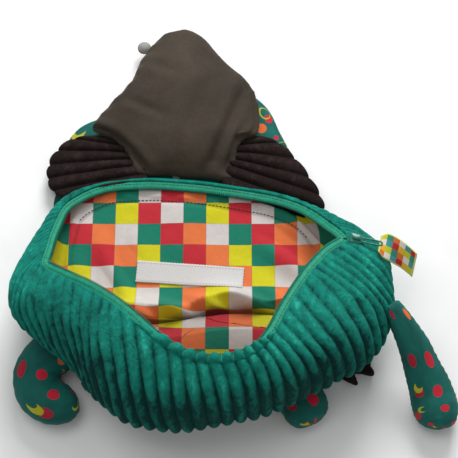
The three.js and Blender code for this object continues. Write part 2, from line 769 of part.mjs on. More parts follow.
const neck = new THREE.Vector3(flapShift, neckY, 0);
const straps = [
  { side: 'left', route: leftStrapRoute, webbing: leftWebbingRoute },
  { side: 'right', route: rightStrapRoute, webbing: rightWebbingRoute },
];
const grooves = straps.map((strap) => {
  const curve = routeCurve(strap.route, neck, strapReach);
  const heading = curve.getTangentAt(1);
  const end = curve.getPointAt(1);
  const below = routeCurve(strap.webbing, end, webbingReach);
  below.points.unshift(
    end.clone().addScaledVector(heading, gap),
    end.clone().addScaledVector(heading, webbingWidth / 2),
  );
  const loop = strip(curve, strapWidth, 0, strapThickness, strapSteps);
  add(`strap_${strap.side}`, seated(loop, [bagSpace(gap)]), colours.print, 0.8);
  const web = strip(below, webbingWidth, 0, webbingThickness, webbingSteps);
  add(`webbing_${strap.side}`, web, colours.webbing, 0.7);
  const groove = new THREE.CatmullRomCurve3([
    below.getPointAt(0).addScaledVector(below.getTangentAt(0), -gap),
    ...below.points,
    below.getPointAt(1).addScaledVector(below.getTangentAt(1), gap),
  ]);
  const width = webbingWidth + grooveRoom;
  return strip(groove, width, -webbingThickness, webbingThickness + gap, webbingSteps);
});

add('shell', shell(grooves), colours.plush, 0.9);
add('lining', lining(), colours.lining, 0.8);
add('zip_tape_front', zipTape(places.sliderEnd, places.leftEnd), colours.tape, 0.7);
add('zip_tape_back', zipTape(places.leftEnd, stations.length + places.sliderEnd), colours.tape, 0.7);
add('zip_slider', slider(), colours.slider, 0.4);
add('zip_puller', puller(), colours.slider, 0.4);
add('pull_tab', tab(), colours.tab, 0.8);
add('name_label', label(), colours.label, 0.8);
add('head_flap', seated(flap(0), [bagSpace(gap)]), colours.velour, 0.9);

const ears = [
  { side: 'left', rows: leftEarRows, reach: leftEarReach, corner: flapRows[0].left },
  { side: 'right', rows: rightEarRows, reach: rightEarReach, corner: flapRows[0].right },
];
ears.forEach((ear) => {
  const corner = new THREE.Vector3(flapShift + ear.corner * flapWidth, neckY, 0);
  const bottom = strapThickness + gap;
  const blade = fan(ear.rows, corner, ear.reach, earThickness, earRibHeight, bottom);
  add(`ear_${ear.side}`, seated(blade, [flap(gap), bagSpace(gap)]), colours.ear, 0.9);
});

add('arm_left', arm(leftArmRoute, places.leftArm, places.leftArmRow), colours.print, 0.8);
add('arm_right', arm(rightArmRoute, places.rightArm, places.rightArmRow), colours.print, 0.8);
add('leg_left', leg(places.leftLeg, -leftLegTurn), colours.print, 0.8);
add('leg_right', leg(places.rightLeg, 0), colours.print, 0.8);

const tailLine = wallLine(places.tail / stations.length);
const tailRoot = tailLine[tailLine.length - 1];
const tuft = fan(tailRows, tailRoot, tailReach, tailThickness, tailRibHeight, 0);
add('tail_tuft', seated(tuft, [bagSpace(gap)]), colours.ear, 0.9);

const snoutY = neckY + nostrilAlong * flapLength;
const nostrils = [
  { side: 'left', across: nostrilLeft, height: flapThickness / 2 },
  { side: 'right', across: nostrilRight, height: nostrilHeight },
];
nostrils.forEach((spot) => {
  const dome = nostril(flapShift + spot.across * flapWidth, snoutY, spot.height);
  add(`nostril_${spot.side}`, dome, colours.nostril, 0.4);
});

// Stands the model on the middle of its own footprint
const box = new THREE.Box3().setFromObject(model);
const middle = box.getCenter(new THREE.Vector3());
model.position.set(-middle.x, -middle.y, -box.min.z);

export default model;
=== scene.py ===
"""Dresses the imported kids' animal backpack: plush, lining, zip, head, straps and limbs."""

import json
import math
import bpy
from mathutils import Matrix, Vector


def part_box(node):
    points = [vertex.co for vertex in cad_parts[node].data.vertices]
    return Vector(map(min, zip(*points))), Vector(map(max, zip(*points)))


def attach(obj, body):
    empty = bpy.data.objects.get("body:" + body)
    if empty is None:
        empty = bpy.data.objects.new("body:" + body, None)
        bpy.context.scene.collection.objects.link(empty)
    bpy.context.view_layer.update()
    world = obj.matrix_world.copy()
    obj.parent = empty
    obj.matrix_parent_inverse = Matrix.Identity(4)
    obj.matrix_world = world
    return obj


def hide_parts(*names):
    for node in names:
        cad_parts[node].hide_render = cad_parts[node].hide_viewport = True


bl_info = {
    "name": "Kids Animal Backpack",
    "version": (1, 0, 0),
    "blender": (4, 5, 0),
    "location": "View3D > Sidebar > Backpack",
    "description": "Builds the soft pieces of a plush animal backpack round its packed frame",
    "category": "Object",
}

import bmesh
import bpy
import numpy as np
from bpy.props import FloatProperty, FloatVectorProperty, IntProperty, PointerProperty
from mathutils import Vector

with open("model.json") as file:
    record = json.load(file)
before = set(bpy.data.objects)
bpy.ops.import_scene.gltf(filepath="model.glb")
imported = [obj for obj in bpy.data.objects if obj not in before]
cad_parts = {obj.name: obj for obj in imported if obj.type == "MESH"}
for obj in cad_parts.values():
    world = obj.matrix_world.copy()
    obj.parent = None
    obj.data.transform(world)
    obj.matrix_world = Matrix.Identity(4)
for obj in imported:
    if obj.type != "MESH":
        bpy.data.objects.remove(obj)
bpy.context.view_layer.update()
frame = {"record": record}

# The drawing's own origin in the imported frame, and its unit
ORIGIN = np.array(frame["record"]["mounts"][0]["pos_m"], float)
MM = 0.001

# Sizes of the bag in millimetres, as in the part's source
HALF_WIDTH = 130.0
HALF_DEPTH = 95.0
FRONT_HEIGHT = 95.0
PLUSH_WALL = 3.0
BACK_PANEL = 6.0
TUCK_DEPTH = 40.0
UNDER_FULLNESS = 0.35
WALL_ROWS = 4
UNDER_ROWS = 3
GAP = 0.3
FLAP_LENGTH = 121.0
FLAP_WIDTH = 125.0
FLAP_THICKNESS = 18.0
FLAP_SHIFT = -21.0
STRAP_THICKNESS = 4.0
STRAP_WIDTH = 30.0
STRAP_REACH = 60.0
WEBBING_WIDTH = 25.0
WEBBING_THICKNESS = 1.5
WEBBING_REACH = 125.0
EAR_REACH = 62.0
EAR_THICKNESS = 8.0
LIMB_WIDTH = 33.0
LIMB_THICKNESS = 25.0
ARM_REACH = 80.0
LEG_REACH = 52.0
LEFT_LEG_TURN = 1.15
TAIL_REACH = 40.0
TAIL_THICKNESS = 3.0
ZIP_END_GAP = 2.4
ZIP_CORNER_GAP = 0.2
SLIDER_LENGTH = 10.0
SLIDER_WIDTH = 8.0
SLIDER_HEIGHT = 5.0
PULLER_LENGTH = 13.0
TAB_LENGTH = 26.0
TAB_WIDTH = 17.0
TAB_THICKNESS = 1.6
TAB_DROOP = 7.0
# The lining's distance from the plush, its floor's height and the thickness of the thin cloths
LINING_GAP = 1.4
LINING_FLOOR = BACK_PANEL + 1.1
LINING_CLOTH = 0.6
LABEL_CLOTH = 0.5
# Distance of the hem's stitches from the rim
HEM = 13.5
# Name label: size, turn in radians and middle
LABEL_LENGTH = 74.0
LABEL_HEIGHT = 16.5
LABEL_TURN = -0.075
LABEL_X = -11.0
LABEL_Y = 25.0
# How far an ear's root goes in under the flap, as a share of its reach; how high the ribs of ears
# and tail stand, how many the tail has, and what its pile adds to its thickness
EAR_TUCK = 0.14
EAR_RIB_HEIGHT = 2.4
TAIL_RIB_HEIGHT = 1.8
TAIL_RIBS = 4
TAIL_FILL = 5.0
# Where a strap's map starts, in metres, and how far aside its underside is laid out, in millimetres
STRAP_MAP_START = 0.31
STRAP_MAP_ASIDE = 40.0
# Camera: the point that it looks at, its lens and the width of its sensor
VIEW_TARGET = (16.0, 46.5, 40.0)
LENS = 116.33
SENSOR = 36.0
# Rows of the bag's wall from the rim to the table, and frames that the stuffing takes to swell
LAST_ROW = WALL_ROWS + UNDER_ROWS
STUFFING_FRAMES = 20

# Stations round the bag, clockwise from the zip's open end:
# rim x, y, z, belly x, y, z, tuck, strength of the ribs
STATIONS = np.array([
    (0.738, 0.38, 0.505, 0.93, 0.32, 0.41, 0.5, 0.8),
    (0.64, 0.235, 0.61, 0.955, 0.1, 0.4, 0.55, 1),
    (0.555, 0.085, 0.695, 0.955, -0.13, 0.38, 0.6, 1),
    (0.477, -0.095, 0.78, 0.88, -0.36, 0.38, 0.7, 1),
    (0.408, -0.275, 0.865, 0.77, -0.53, 0.41, 0.8, 1),
    (0.346, -0.453, 0.925, 0.63, -0.64, 0.44, 0.9, 1),
    (0.277, -0.58, 0.97, 0.46, -0.77, 0.465, 1, 1),
    (0.154, -0.665, 0.99, 0.26, -0.885, 0.485, 1, 1),
    (-0.015, -0.675, 1, 0.03, -0.96, 0.505, 1, 1),
    (-0.138, -0.61, 0.995, -0.155, -0.99, 0.505, 1, 1),
    (-0.254, -0.484, 0.97, -0.34, -0.937, 0.475, 1, 1),
    (-0.354, -0.347, 0.925, -0.492, -0.8, 0.43, 0.95, 1),
    (-0.454, -0.22, 0.865, -0.63, -0.58, 0.4, 0.85, 1),
    (-0.585, -0.084, 0.78, -0.8, -0.37, 0.4, 0.75, 1),
    (-0.723, 0.03, 0.695, -0.965, -0.16, 0.43, 0.65, 1),
    (-0.83, 0.15, 0.59, -0.985, 0.065, 0.42, 0.55, 1),
    (-0.83, 0.337, 0.453, -0.93, 0.295, 0.38, 0.5, 1),
    (-0.815, 0.547, 0.305, -0.87, 0.53, 0.25, 0.35, 0.8),
    (-0.754, 0.8, 0.18, -0.79, 0.83, 0.12, 0.15, 0.2),
    (-0.577, 0.958, 0.137, -0.59, 0.99, 0.085, 0.1, 0),
    (-0.346, 1, 0.128, -0.346, 1.032, 0.08, 0.1, 0),
    (-0.077, 0.98, 0.128, -0.077, 1.012, 0.08, 0.1, 0),
    (0.185, 0.926, 0.137, 0.192, 0.958, 0.085, 0.1, 0),
    (0.385, 0.863, 0.158, 0.4, 0.895, 0.1, 0.12, 0),
    (0.523, 0.768, 0.215, 0.55, 0.8, 0.15, 0.2, 0.2),
    (0.646, 0.6, 0.33, 0.72, 0.63, 0.25, 0.35, 0.6),
])

# Head flap from the neck to the tip of the snout: along, left, right, lift, thick
FLAP_ROWS = np.array([
    (-0.06, -0.24, 0.35, 1, 0.4),
    (0.01, -0.25, 0.35, 1, 0.43),
    (0.07, -0.27, 0.355, 1, 0.62),
    (0.14, -0.31, 0.36, 1, 0.82),
    (0.215, -0.37, 0.395, 1, 0.95),
    (0.26, -0.45, 0.47, 1, 1),
    (0.305, -0.5, 0.49, 1, 1),
    (0.38, -0.465, 0.49, 1, 1),
    (0.5, -0.38, 0.465, 1, 1),
    (0.61, -0.3, 0.425, 0.85, 0.98),
    (0.74, -0.245, 0.31, 0.55, 0.92),
    (0.84, -0.19, 0.23, 0.3, 0.84),
    (0.92, -0.13, 0.17, 0.12, 0.74),
    (0.975, -0.06, 0.1, 0.08, 0.6),
    (1, -0.01, 0.05, 0.1, 0.45),
])

# Ears and tail: root x, y and edge x, y at each end of the fan
LEFT_EAR = np.array([
    (-0.1, 0.42, -0.38, 0.545),
    (-0.1, 0.37, -0.72, 0.49),
    (-0.1, 0.31, -0.9, 0.34),
    (-0.08, 0.24, -0.985, 0.16),
    (-0.06, 0.16, -0.985, -0.01),
    (0, 0.06, -0.92, -0.16),
    (0.02, -0.06, -0.74, -0.27),
])
RIGHT_EAR = np.array([
    (0.02, 0.46, 0.24, 0.545),
    (0.02, 0.4, 0.47, 0.44),
    (0.02, 0.33, 0.66, 0.24),
    (0.02, 0.25, 0.82, 0),
    (0.02, 0.16, 0.93, -0.22),
    (-0.02, 0.04, 0.96, -0.4),
    (-0.06, -0.12, 0.84, -0.52),
])
TAIL_ROWS = np.array([
    (0.1, 0.06, 0.68, -0.2),
    (0.08, 0.02, 0.66, -0.38),
    (0.06, -0.02, 0.7, -0.55),
    (0.04, -0.05, 0.38, -0.53),
    (0.02, -0.08, 0.43, -0.72),
    (0, -0.1, 0.17, -0.63),
])
FAN_SWELL = np.array([(0, 0.65), (0.3, 1), (0.75, 1), (0.94, 0.8), (1, 0.4)])

# Straps from the middle of the neck, and the webbing from the strap's end
LEFT_STRAP = [(-0.3, -0.03), (-0.34, 0.3), (-0.5, 0.52), (-0.78, 0.6), (-1.02, 0.52),
              (-1.13, 0.3), (-1.16, 0.08), (-1.2, -0.1)]
RIGHT_STRAP = [(0.28, -0.08), (0.3, 0.35), (0.4, 0.78), (0.62, 0.99), (0.86, 0.85),
               (1, 0.55), (1.17, 0.2), (1.36, -0.12)]
LEFT_WEBBING = [(0.08, -0.3), (0.16, -0.55), (0.26, -0.8)]
RIGHT_WEBBING = [(0.02, -0.3), (-0.02, -0.55), (-0.08, -0.8)]

# Arms: x, y, rise and full along the middle line; legs: share of the length and full
RIGHT_ARM = np.array([
    (0.025, 0.02, 1, 0.4), (0.125, -0.13, 0.82, 0.5412), (0.225, -0.29, 0.55, 0.7056),
    (0.31, -0.455, 0.28, 0.82), (0.375, -0.605, 0.1, 0.92), (0.41, -0.74, 0, 0.98),
    (0.435, -0.855, 0, 0.8), (0.44, -0.925, 0, 0.42),
])
LEFT_ARM = np.array([
    (0.08, 0.02, 0, 0.6), (0.01, 0, 0, 0.9), (-0.09, -0.03, 0, 1), (-0.175, -0.12, 0, 1),
    (-0.205, -0.23, 0, 1), (-0.18, -0.34, 0, 1), (-0.1, -0.42, 0, 1), (0, -0.44, 0, 0.98),
    (0.09, -0.415, 0, 0.8), (0.145, -0.39, 0, 0.42),
])
LEG_ROWS = np.array([
    (0, 0.45), (0.1, 0.78), (0.25, 0.95), (0.5, 1), (0.78, 1), (0.92, 0.8), (1, 0.45),
])

# Where things sit round the bag, counted in stations, and for the arms the row of the wall too
SLIDER_END = 0
LEFT_END = 15.5
RIGHT_ARM_AT = (2, 3)
LEFT_ARM_AT = (12.9, 5)
RIGHT_LEG_AT = 5.7
LEFT_LEG_AT = 10.4
TAIL_AT = 3.5


class BodySettings(bpy.types.PropertyGroup):
    """Plush body of the bag"""

    rib_pitch: FloatProperty(
        name="Rib pitch", description="Distance from one rib of the plush to the next",
        default=8.5 * MM, min=3 * MM, max=20 * MM, unit="LENGTH",
    )
    rib_height: FloatProperty(
        name="Rib height", description="How far a rib stands over the groove beside it",
        default=3.6 * MM, min=0, max=6 * MM, unit="LENGTH",
    )
    plush_colour: FloatVectorProperty(
        name="Plush", description="Colour on the crest of the plush ribs",
        default=(0.009, 0.240, 0.180), min=0, max=1, size=3, subtype="COLOR",
    )
    # painted shade colour of the plush, used in the ribs' grooves and low on the front wall
    shade_colour: FloatVectorProperty(
        name="Plush shade", description="Colour where the pile is pressed or lies in a groove",
        default=(0.003, 0.040, 0.036), min=0, max=1, size=3, subtype="COLOR",
    )


class LiningSettings(bpy.types.PropertyGroup):
    """Checked cotton lining and its label"""

    check_size: FloatProperty(
        name="Check size", description="Side of one square of the lining's print",
        default=15.9 * MM, min=4 * MM, max=40 * MM, unit="LENGTH",
    )
    stitch_pitch: FloatProperty(
        name="Stitch pitch", description="Length of one stitch with its gap",
        default=2.6 * MM, min=1 * MM, max=6 * MM, unit="LENGTH",
    )
    label_colour: FloatVectorProperty(
        name="Label", description="Colour of the blank name label",
        default=(0.62, 0.61, 0.60), min=0, max=1, size=3, subtype="COLOR",
    )


class ZipSettings(bpy.types.PropertyGroup):
    """Zip tapes, coil, slider and pull"""

    tape_width: FloatProperty(
        name="Tape width", description="Width of the tape that shows on each side",
        default=7.0 * MM, min=4 * MM, max=15 * MM, unit="LENGTH",
    )
    coil_pitch: FloatProperty(
        name="Coil pitch", description="Distance from one tooth of the coil to the next",
        default=1.5 * MM, min=0.8 * MM, max=4 * MM, unit="LENGTH",
    )
    tape_colour: FloatVectorProperty(
        name="Tape", description="Colour of the woven tape",
        default=(0.004, 0.30, 0.175), min=0, max=1, size=3, subtype="COLOR",
    )


class HeadSettings(bpy.types.PropertyGroup):
    """Head flap and ears"""

    velour_colour: FloatVectorProperty(
        name="Velour", description="Colour of the head's short velour",
        default=(0.044, 0.034, 0.024), min=0, max=1, size=3, subtype="COLOR",
    )
    ear_colour: FloatVectorProperty(
        name="Ears", description="Colour of the ribbed plush of the ears",
        default=(0.019, 0.012, 0.011), min=0, max=1, size=3, subtype="COLOR",
    )
    ear_ribs: IntProperty(
        name="Ear ribs", description="Number of ribs on each ear", default=6, min=2, max=12,
    )


class LimbSettings(bpy.types.PropertyGroup):
    """Straps and stuffed limbs"""

    cotton_colour: FloatVectorProperty(
        name="Cotton", description="Ground colour of the printed cotton",
        default=(0.004, 0.135, 0.112), min=0, max=1, size=3, subtype="COLOR",
    )
    motif_size: FloatProperty(
        name="Motif spacing", description="Distance from one printed dot to the next",
        default=20.0 * MM, min=5 * MM, max=40 * MM, unit="LENGTH",
    )


class StageSettings(bpy.types.PropertyGroup):
    """Floor, light and camera"""

    camera_elevation: FloatProperty(
        name="Camera elevation", description="Angle of the camera over the floor",
        default=math.radians(68), min=0, max=math.pi / 2, subtype="ANGLE",
    )
    camera_distance: FloatProperty(
        name="Camera distance", description="Distance from the camera to the bag",
        default=1.0, min=0.3, max=5, unit="LENGTH",
    )


# Curves and walls


def catmull(points, at, closed):
    """Centripetal curve through points, at shares from 0 to 1 of its length in points."""
    points = np.asarray(points, float)
    count = len(points)
    at = np.atleast_1d(np.asarray(at, float))
    if closed:
        place = (at % 1.0) * count
        row = np.floor(place).astype(int)
        p = [points[(row + k) % count] for k in (-1, 0, 1, 2)]
    else:
        place = at * (count - 1)
        row = np.clip(np.floor(place).astype(int), 0, count - 2)
        padded = np.vstack([2 * points[0] - points[1], points, 2 * points[-1] - points[-2]])
        p = [padded[row + k] for k in range(4)]
    w = (place - row)[:, None]
    step = [np.sum((p[k + 1] - p[k]) ** 2, axis=1, keepdims=True) ** 0.25 for k in range(3)]
    step[1] = np.where(step[1] < 1e-4, 1, step[1])
    step[0] = np.where(step[0] < 1e-4, step[1], step[0])
    step[2] = np.where(step[2] < 1e-4, step[1], step[2])
    out = (p[1] - p[0]) / step[0] - (p[2] - p[0]) / (step[0] + step[1]) + (p[2] - p[1]) / step[1]
    into = (p[2] - p[1]) / step[1] - (p[3] - p[1]) / (step[1] + step[2]) + (p[3] - p[2]) / step[2]
    out, into = out * step[1], into * step[1]
    square = -3 * p[1] + 3 * p[2] - 2 * out - into
    cube = 2 * p[1] - 2 * p[2] + out + into
    return p[1] + w * (out + w * (square + w * cube))


# Steps in which a line's length is measured
LINE_STEPS = 2000


class Line:
    """A smooth line through points in millimetres, closed or open."""

    def __init__(self, points, closed=False):
        self.points = np.asarray(points, float)
        if self.points.shape[1] == 2:
            self.points = np.column_stack([self.points, np.zeros(len(self.points))])
        self.closed = closed
        self.shares = np.linspace(0, 1, LINE_STEPS + 1)
        run = self.at(self.shares)
        steps = np.linalg.norm(np.diff(run, axis=0), axis=1)
        self.lengths = np.concatenate([[0], np.cumsum(steps)])
        self.length = self.lengths[-1]

    def at(self, share):
        """Points of the curve at shares of its run."""
        return catmull(self.points, share, self.closed)

    def spaced(self, share):
        """The curve's own share at an even share of its length."""
        turns = np.floor(share) if self.closed else 0
        inner = np.asarray(share) - turns
        return np.interp(inner * self.length, self.lengths, self.shares) + turns

    def tangent(self, share):
        """Unit direction of the curve at shares of its run."""
        low = np.asarray(share) - 1e-4
        high = np.asarray(share) + 1e-4
        if not self.closed:
            low, high = np.clip(low, 0, 1), np.clip(high, 0, 1)
        run = self.at(high) - self.at(low)
        return run / np.linalg.norm(run, axis=1, keepdims=True)

    def inward(self, share):
        """Level direction to the right of the line, which is into the bag."""
        run = self.tangent(share)
        run[:, 2] = 0
        run /= np.linalg.norm(run, axis=1, keepdims=True)
        return np.column_stack([run[:, 1], -run[:, 0], np.zeros(len(run))])


HALF_SIZES = np.array([HALF_WIDTH, HALF_DEPTH, FRONT_HEIGHT])
RIM = Line(STATIONS[:, 0:3] * HALF_SIZES, closed=True)
BELLY = Line(STATIONS[:, 3:6] * HALF_SIZES, closed=True)
NECK_Y = BELLY.at([20.5 / len(STATIONS)])[0][1]
# Even share of the belly's length at even steps of its stations, a little past both ends
EVEN_PLACES = np.linspace(-0.2, 1.2, 3001)
EVEN_SHARES = np.interp(EVEN_PLACES % 1.0, BELLY.shares, BELLY.lengths / BELLY.length)
EVEN_SHARES += np.floor(EVEN_PLACES)


def stations_at(share):
    """Shares round the bag counted in stations."""
    return (np.asarray(share) % 1.0) * len(STATIONS)


def around(column, share):
    """A column of the stations' table at shares round the bag."""
    place = stations_at(share)
    row = np.floor(place).astype(int)
    values = STATIONS[:, column]
    before, after = values[row % len(values)], values[(row + 1) % len(values)]
    return before * (1 - place + row) + after * (place - row)


def wall(shares, rows):
    """Points and normals of the bag's wall, rows from 0 at the rim to LAST_ROW on the table."""
    rim, belly = RIM.at(shares), BELLY.at(shares)
    base = belly + BELLY.inward(shares) * (around(6, shares) * TUCK_DEPTH)[:, None]
    base[:, 2] = 0
    rings = []
    for row in rows:
        if row <= WALL_ROWS:
            turn = row / WALL_ROWS * math.pi / 2
            ring = rim + (belly - rim) * math.sin(turn)
            ring[:, 2] = belly[:, 2] + (rim[:, 2] - belly[:, 2]) * math.cos(turn)
        else:
            share = min(1.0, (row - WALL_ROWS) / UNDER_ROWS)
            turn = share * math.pi / 2
            out = (1 - share) * (1 - UNDER_FULLNESS) + math.cos(turn) * UNDER_FULLNESS
            low = (1 - share) * (1 - UNDER_FULLNESS) + (1 - math.sin(turn)) * UNDER_FULLNESS
            ring = base + (belly - base) * out
            ring[:, 2] = belly[:, 2] * low
        rings.append(ring)
    points = np.array(rings)
    along = np.roll(points, -1, axis=1) - np.roll(points, 1, axis=1)
    down = np.gradient(points, axis=0)
    normals = np.cross(along, down)
    normals /= np.linalg.norm(normals, axis=2, keepdims=True) + 1e-12
    return points, normals


def wall_spot(share, row):
    """One point of the bag's wall."""
    points, _ = wall(np.array([share, share + 1e-3]), [row - 0.01, row])
    return points[1, 0]


def unrest(points, size, seed):
    """Smooth made-up unevenness between -1 and 1 at points, in waves of about that size."""
    rng = np.random.default_rng(seed)
    total = np.zeros(points.shape[:-1])
    waves = 9
    for _ in range(waves):
        heading = rng.normal(size=3)
        heading /= np.linalg.norm(heading)
        wave = 2 * math.pi / (size * rng.uniform(0.7, 1.6))
        total += np.sin(points @ heading * wave + rng.uniform(0, 2 * math.pi))
    return np.clip(total / (waves / 2), -1, 1)


def bump(x, middle, width):
    """A smooth hill of height 1 over x."""
    return np.exp(-(((x - middle) / width) ** 2))


def full_turn(count):
    """Even angles once round, without the last, which is the first again."""
    return np.linspace(0, 2 * math.pi, count, endpoint=False)


def power(values, exponent):
    """Values raised to a power with their sign kept, which makes a circle squarer."""
    return np.sign(values) * np.abs(values) ** exponent


# Meshes


def in_frame(points):
    """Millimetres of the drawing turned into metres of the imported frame."""
    return np.asarray(points, float).reshape(-1, 3) * MM + ORIGIN


def make_mesh(name, points, faces, smooth=True):
    """A new object with its place in its mesh, from points in millimetres."""
    mesh = bpy.data.meshes.new(name)
    mesh.from_pydata(in_frame(points).tolist(), [], [list(map(int, face)) for face in faces])
    mesh.polygons.foreach_set("use_smooth", [smooth] * len(mesh.polygons))
    mesh.validate()
    mesh.update()
    piece = bpy.data.objects.new(name, mesh)
    bpy.context.scene.collection.objects.link(piece)
    return piece


def grid_faces(rows, columns, closed=True, start=0):
    """Quads between rows of points, joined round when closed."""
    wide = columns if closed else columns - 1
    row, column = np.meshgrid(np.arange(rows - 1), np.arange(wide), indexing="ij")
    after = (column + 1) % columns
    low, high = start + row * columns, start + (row + 1) * columns
    quads = np.stack([low + column, low + after, high + after, high + column], axis=-1)
    return quads.reshape(-1, 4).tolist()


def capped(rings):
    """Points and faces of a closed body through rings of equal size."""
    rings = np.asarray(rings, float)
    rows, columns = rings.shape[:2]
    points = rings.reshape(-1, 3)
    faces = grid_faces(rows, columns)
    first, last = len(points), len(points) + 1
    points = np.vstack([points, rings[0].mean(axis=0), rings[-1].mean(axis=0)])
    for k in range(columns):
        after = (k + 1) % columns
        faces.append((first, after, k))
        end = (rows - 1) * columns
        faces.append((last, end + k, end + after))
    return points, faces


def face_out(piece, merge=True):
    """Turns the faces of a closed piece outwards, with points that coincide merged first."""
    work = bmesh.new()
    work.from_mesh(piece.data)
    if merge:
        bmesh.ops.remove_doubles(work, verts=work.verts, dist=1e-6)
    bmesh.ops.recalc_face_normals(work, faces=work.faces)
    work.to_mesh(piece.data)
    work.free()
    piece.data.update()


def read_points(piece, field):
    """A field of three numbers at each of the piece's points."""
    flat = np.empty(len(piece.data.vertices) * 3, np.float32)
    piece.data.vertices.foreach_get(field, flat)
    return flat.reshape(-1, 3).astype(float)


def spots(piece):
    """The piece's points in millimetres of the drawing."""
    return (read_points(piece, "co") - ORIGIN) / MM


def set_spots(piece, points):
    """Moves the piece's points to new places in millimetres of the drawing."""
    piece.data.vertices.foreach_set("co", in_frame(points).astype(np.float32).ravel())
    piece.data.update()


def normals_of(piece):
    """The way that the surface faces at each point."""
    return read_points(piece, "normal")


def point_of_corner(mesh):
    """The number of the point at each corner of the mesh's faces."""
    corners = np.empty(len(mesh.loops), np.int32)
    mesh.loops.foreach_get("vertex_index", corners)
    return corners


def point_attribute(piece, name, values):
    """A number at each point that a material reads."""
    layer = piece.data.attributes.new(name, "FLOAT", "POINT")
    layer.data.foreach_set("value", np.asarray(values, np.float32).ravel())


def corner_map(piece, values):
    """A UV map from a pair of numbers at each point."""
    layer = piece.data.uv_layers.new(name="cloth")
    layer.data.foreach_set("uv", np.asarray(values, np.float32)[point_of_corner(piece.data)].ravel())


def dress(piece, material, slot, *nodes):
    """Gives a piece its material, its place on the bag and the nodes it stands for."""
    piece.data.materials.clear()
    piece.data.materials.append(material)
    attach(piece, "root")
    if nodes:
        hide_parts(*nodes)
    return piece


def settled(piece):
    """Applies the piece's modifiers."""
    graph = bpy.context.evaluated_depsgraph_get()
    mesh = bpy.data.meshes.new_from_object(piece.evaluated_get(graph), depsgraph=graph)
    old = piece.data
    piece.modifiers.clear()
    piece.data = mesh
    bpy.data.meshes.remove(old)
    mesh.polygons.foreach_set("use_smooth", [True] * len(mesh.polygons))
    return piece


def cut_to_bag(piece):
    """Takes the bag's own space off a piece that is sewn against it."""
    columns, rows, under_table = 160, 18, -2.0
    shares = BELLY.spaced(np.arange(columns) / columns)
    rings, normals = wall(shares, np.linspace(0, LAST_ROW, rows))
    rings = rings + normals * GAP
    rings[-1, :, 2] = under_table
    space = make_mesh("bag_space", *capped(rings))
    face_out(space)
    modifier = piece.modifiers.new("Seat", "BOOLEAN")
    modifier.operation = "DIFFERENCE"
    modifier.solver = "EXACT"
    modifier.object = space
    settled(piece)
    bpy.data.meshes.remove(space.data)
    return piece


def stuffed(piece, voxel, pressure, most):
    """Fills a closed piece with cloth simulation: remesh, blow up, hold back, smooth.

    voxel is the size of the remeshed faces and most is how far a point may move, in millimetres.
    """
    modifier = piece.modifiers.new("Remesh", "REMESH")
    modifier.mode = "VOXEL"
    modifier.voxel_size = voxel * MM
    settled(piece)
    before = spots(piece)
    cloth = piece.modifiers.new("Cloth", "CLOTH")
    cloth.settings.use_pressure = True
    cloth.settings.uniform_pressure_force = pressure
    cloth.settings.effector_weights.gravity = 0
    cloth.settings.tension_stiffness = 25
    cloth.settings.compression_stiffness = 25
    cloth.settings.bending_stiffness = 1.5
    cloth.settings.mass = 0.3
    cloth.point_cache.frame_start = 1
    cloth.point_cache.frame_end = STUFFING_FRAMES
    scene = bpy.context.scene
    for step in range(1, STUFFING_FRAMES + 1):
        scene.frame_set(step)
    settled(piece)
    scene.frame_set(1)
    moved = spots(piece) - before
    far = np.linalg.norm(moved, axis=1, keepdims=True)
    set_spots(piece, before + moved * np.minimum(1, most / np.maximum(far, 1e-6)))
    modifier = piece.modifiers.new("Subdivision", "SUBSURF")
    modifier.levels = 1
    modifier.render_levels = 1
    return settled(piece)


# Materials


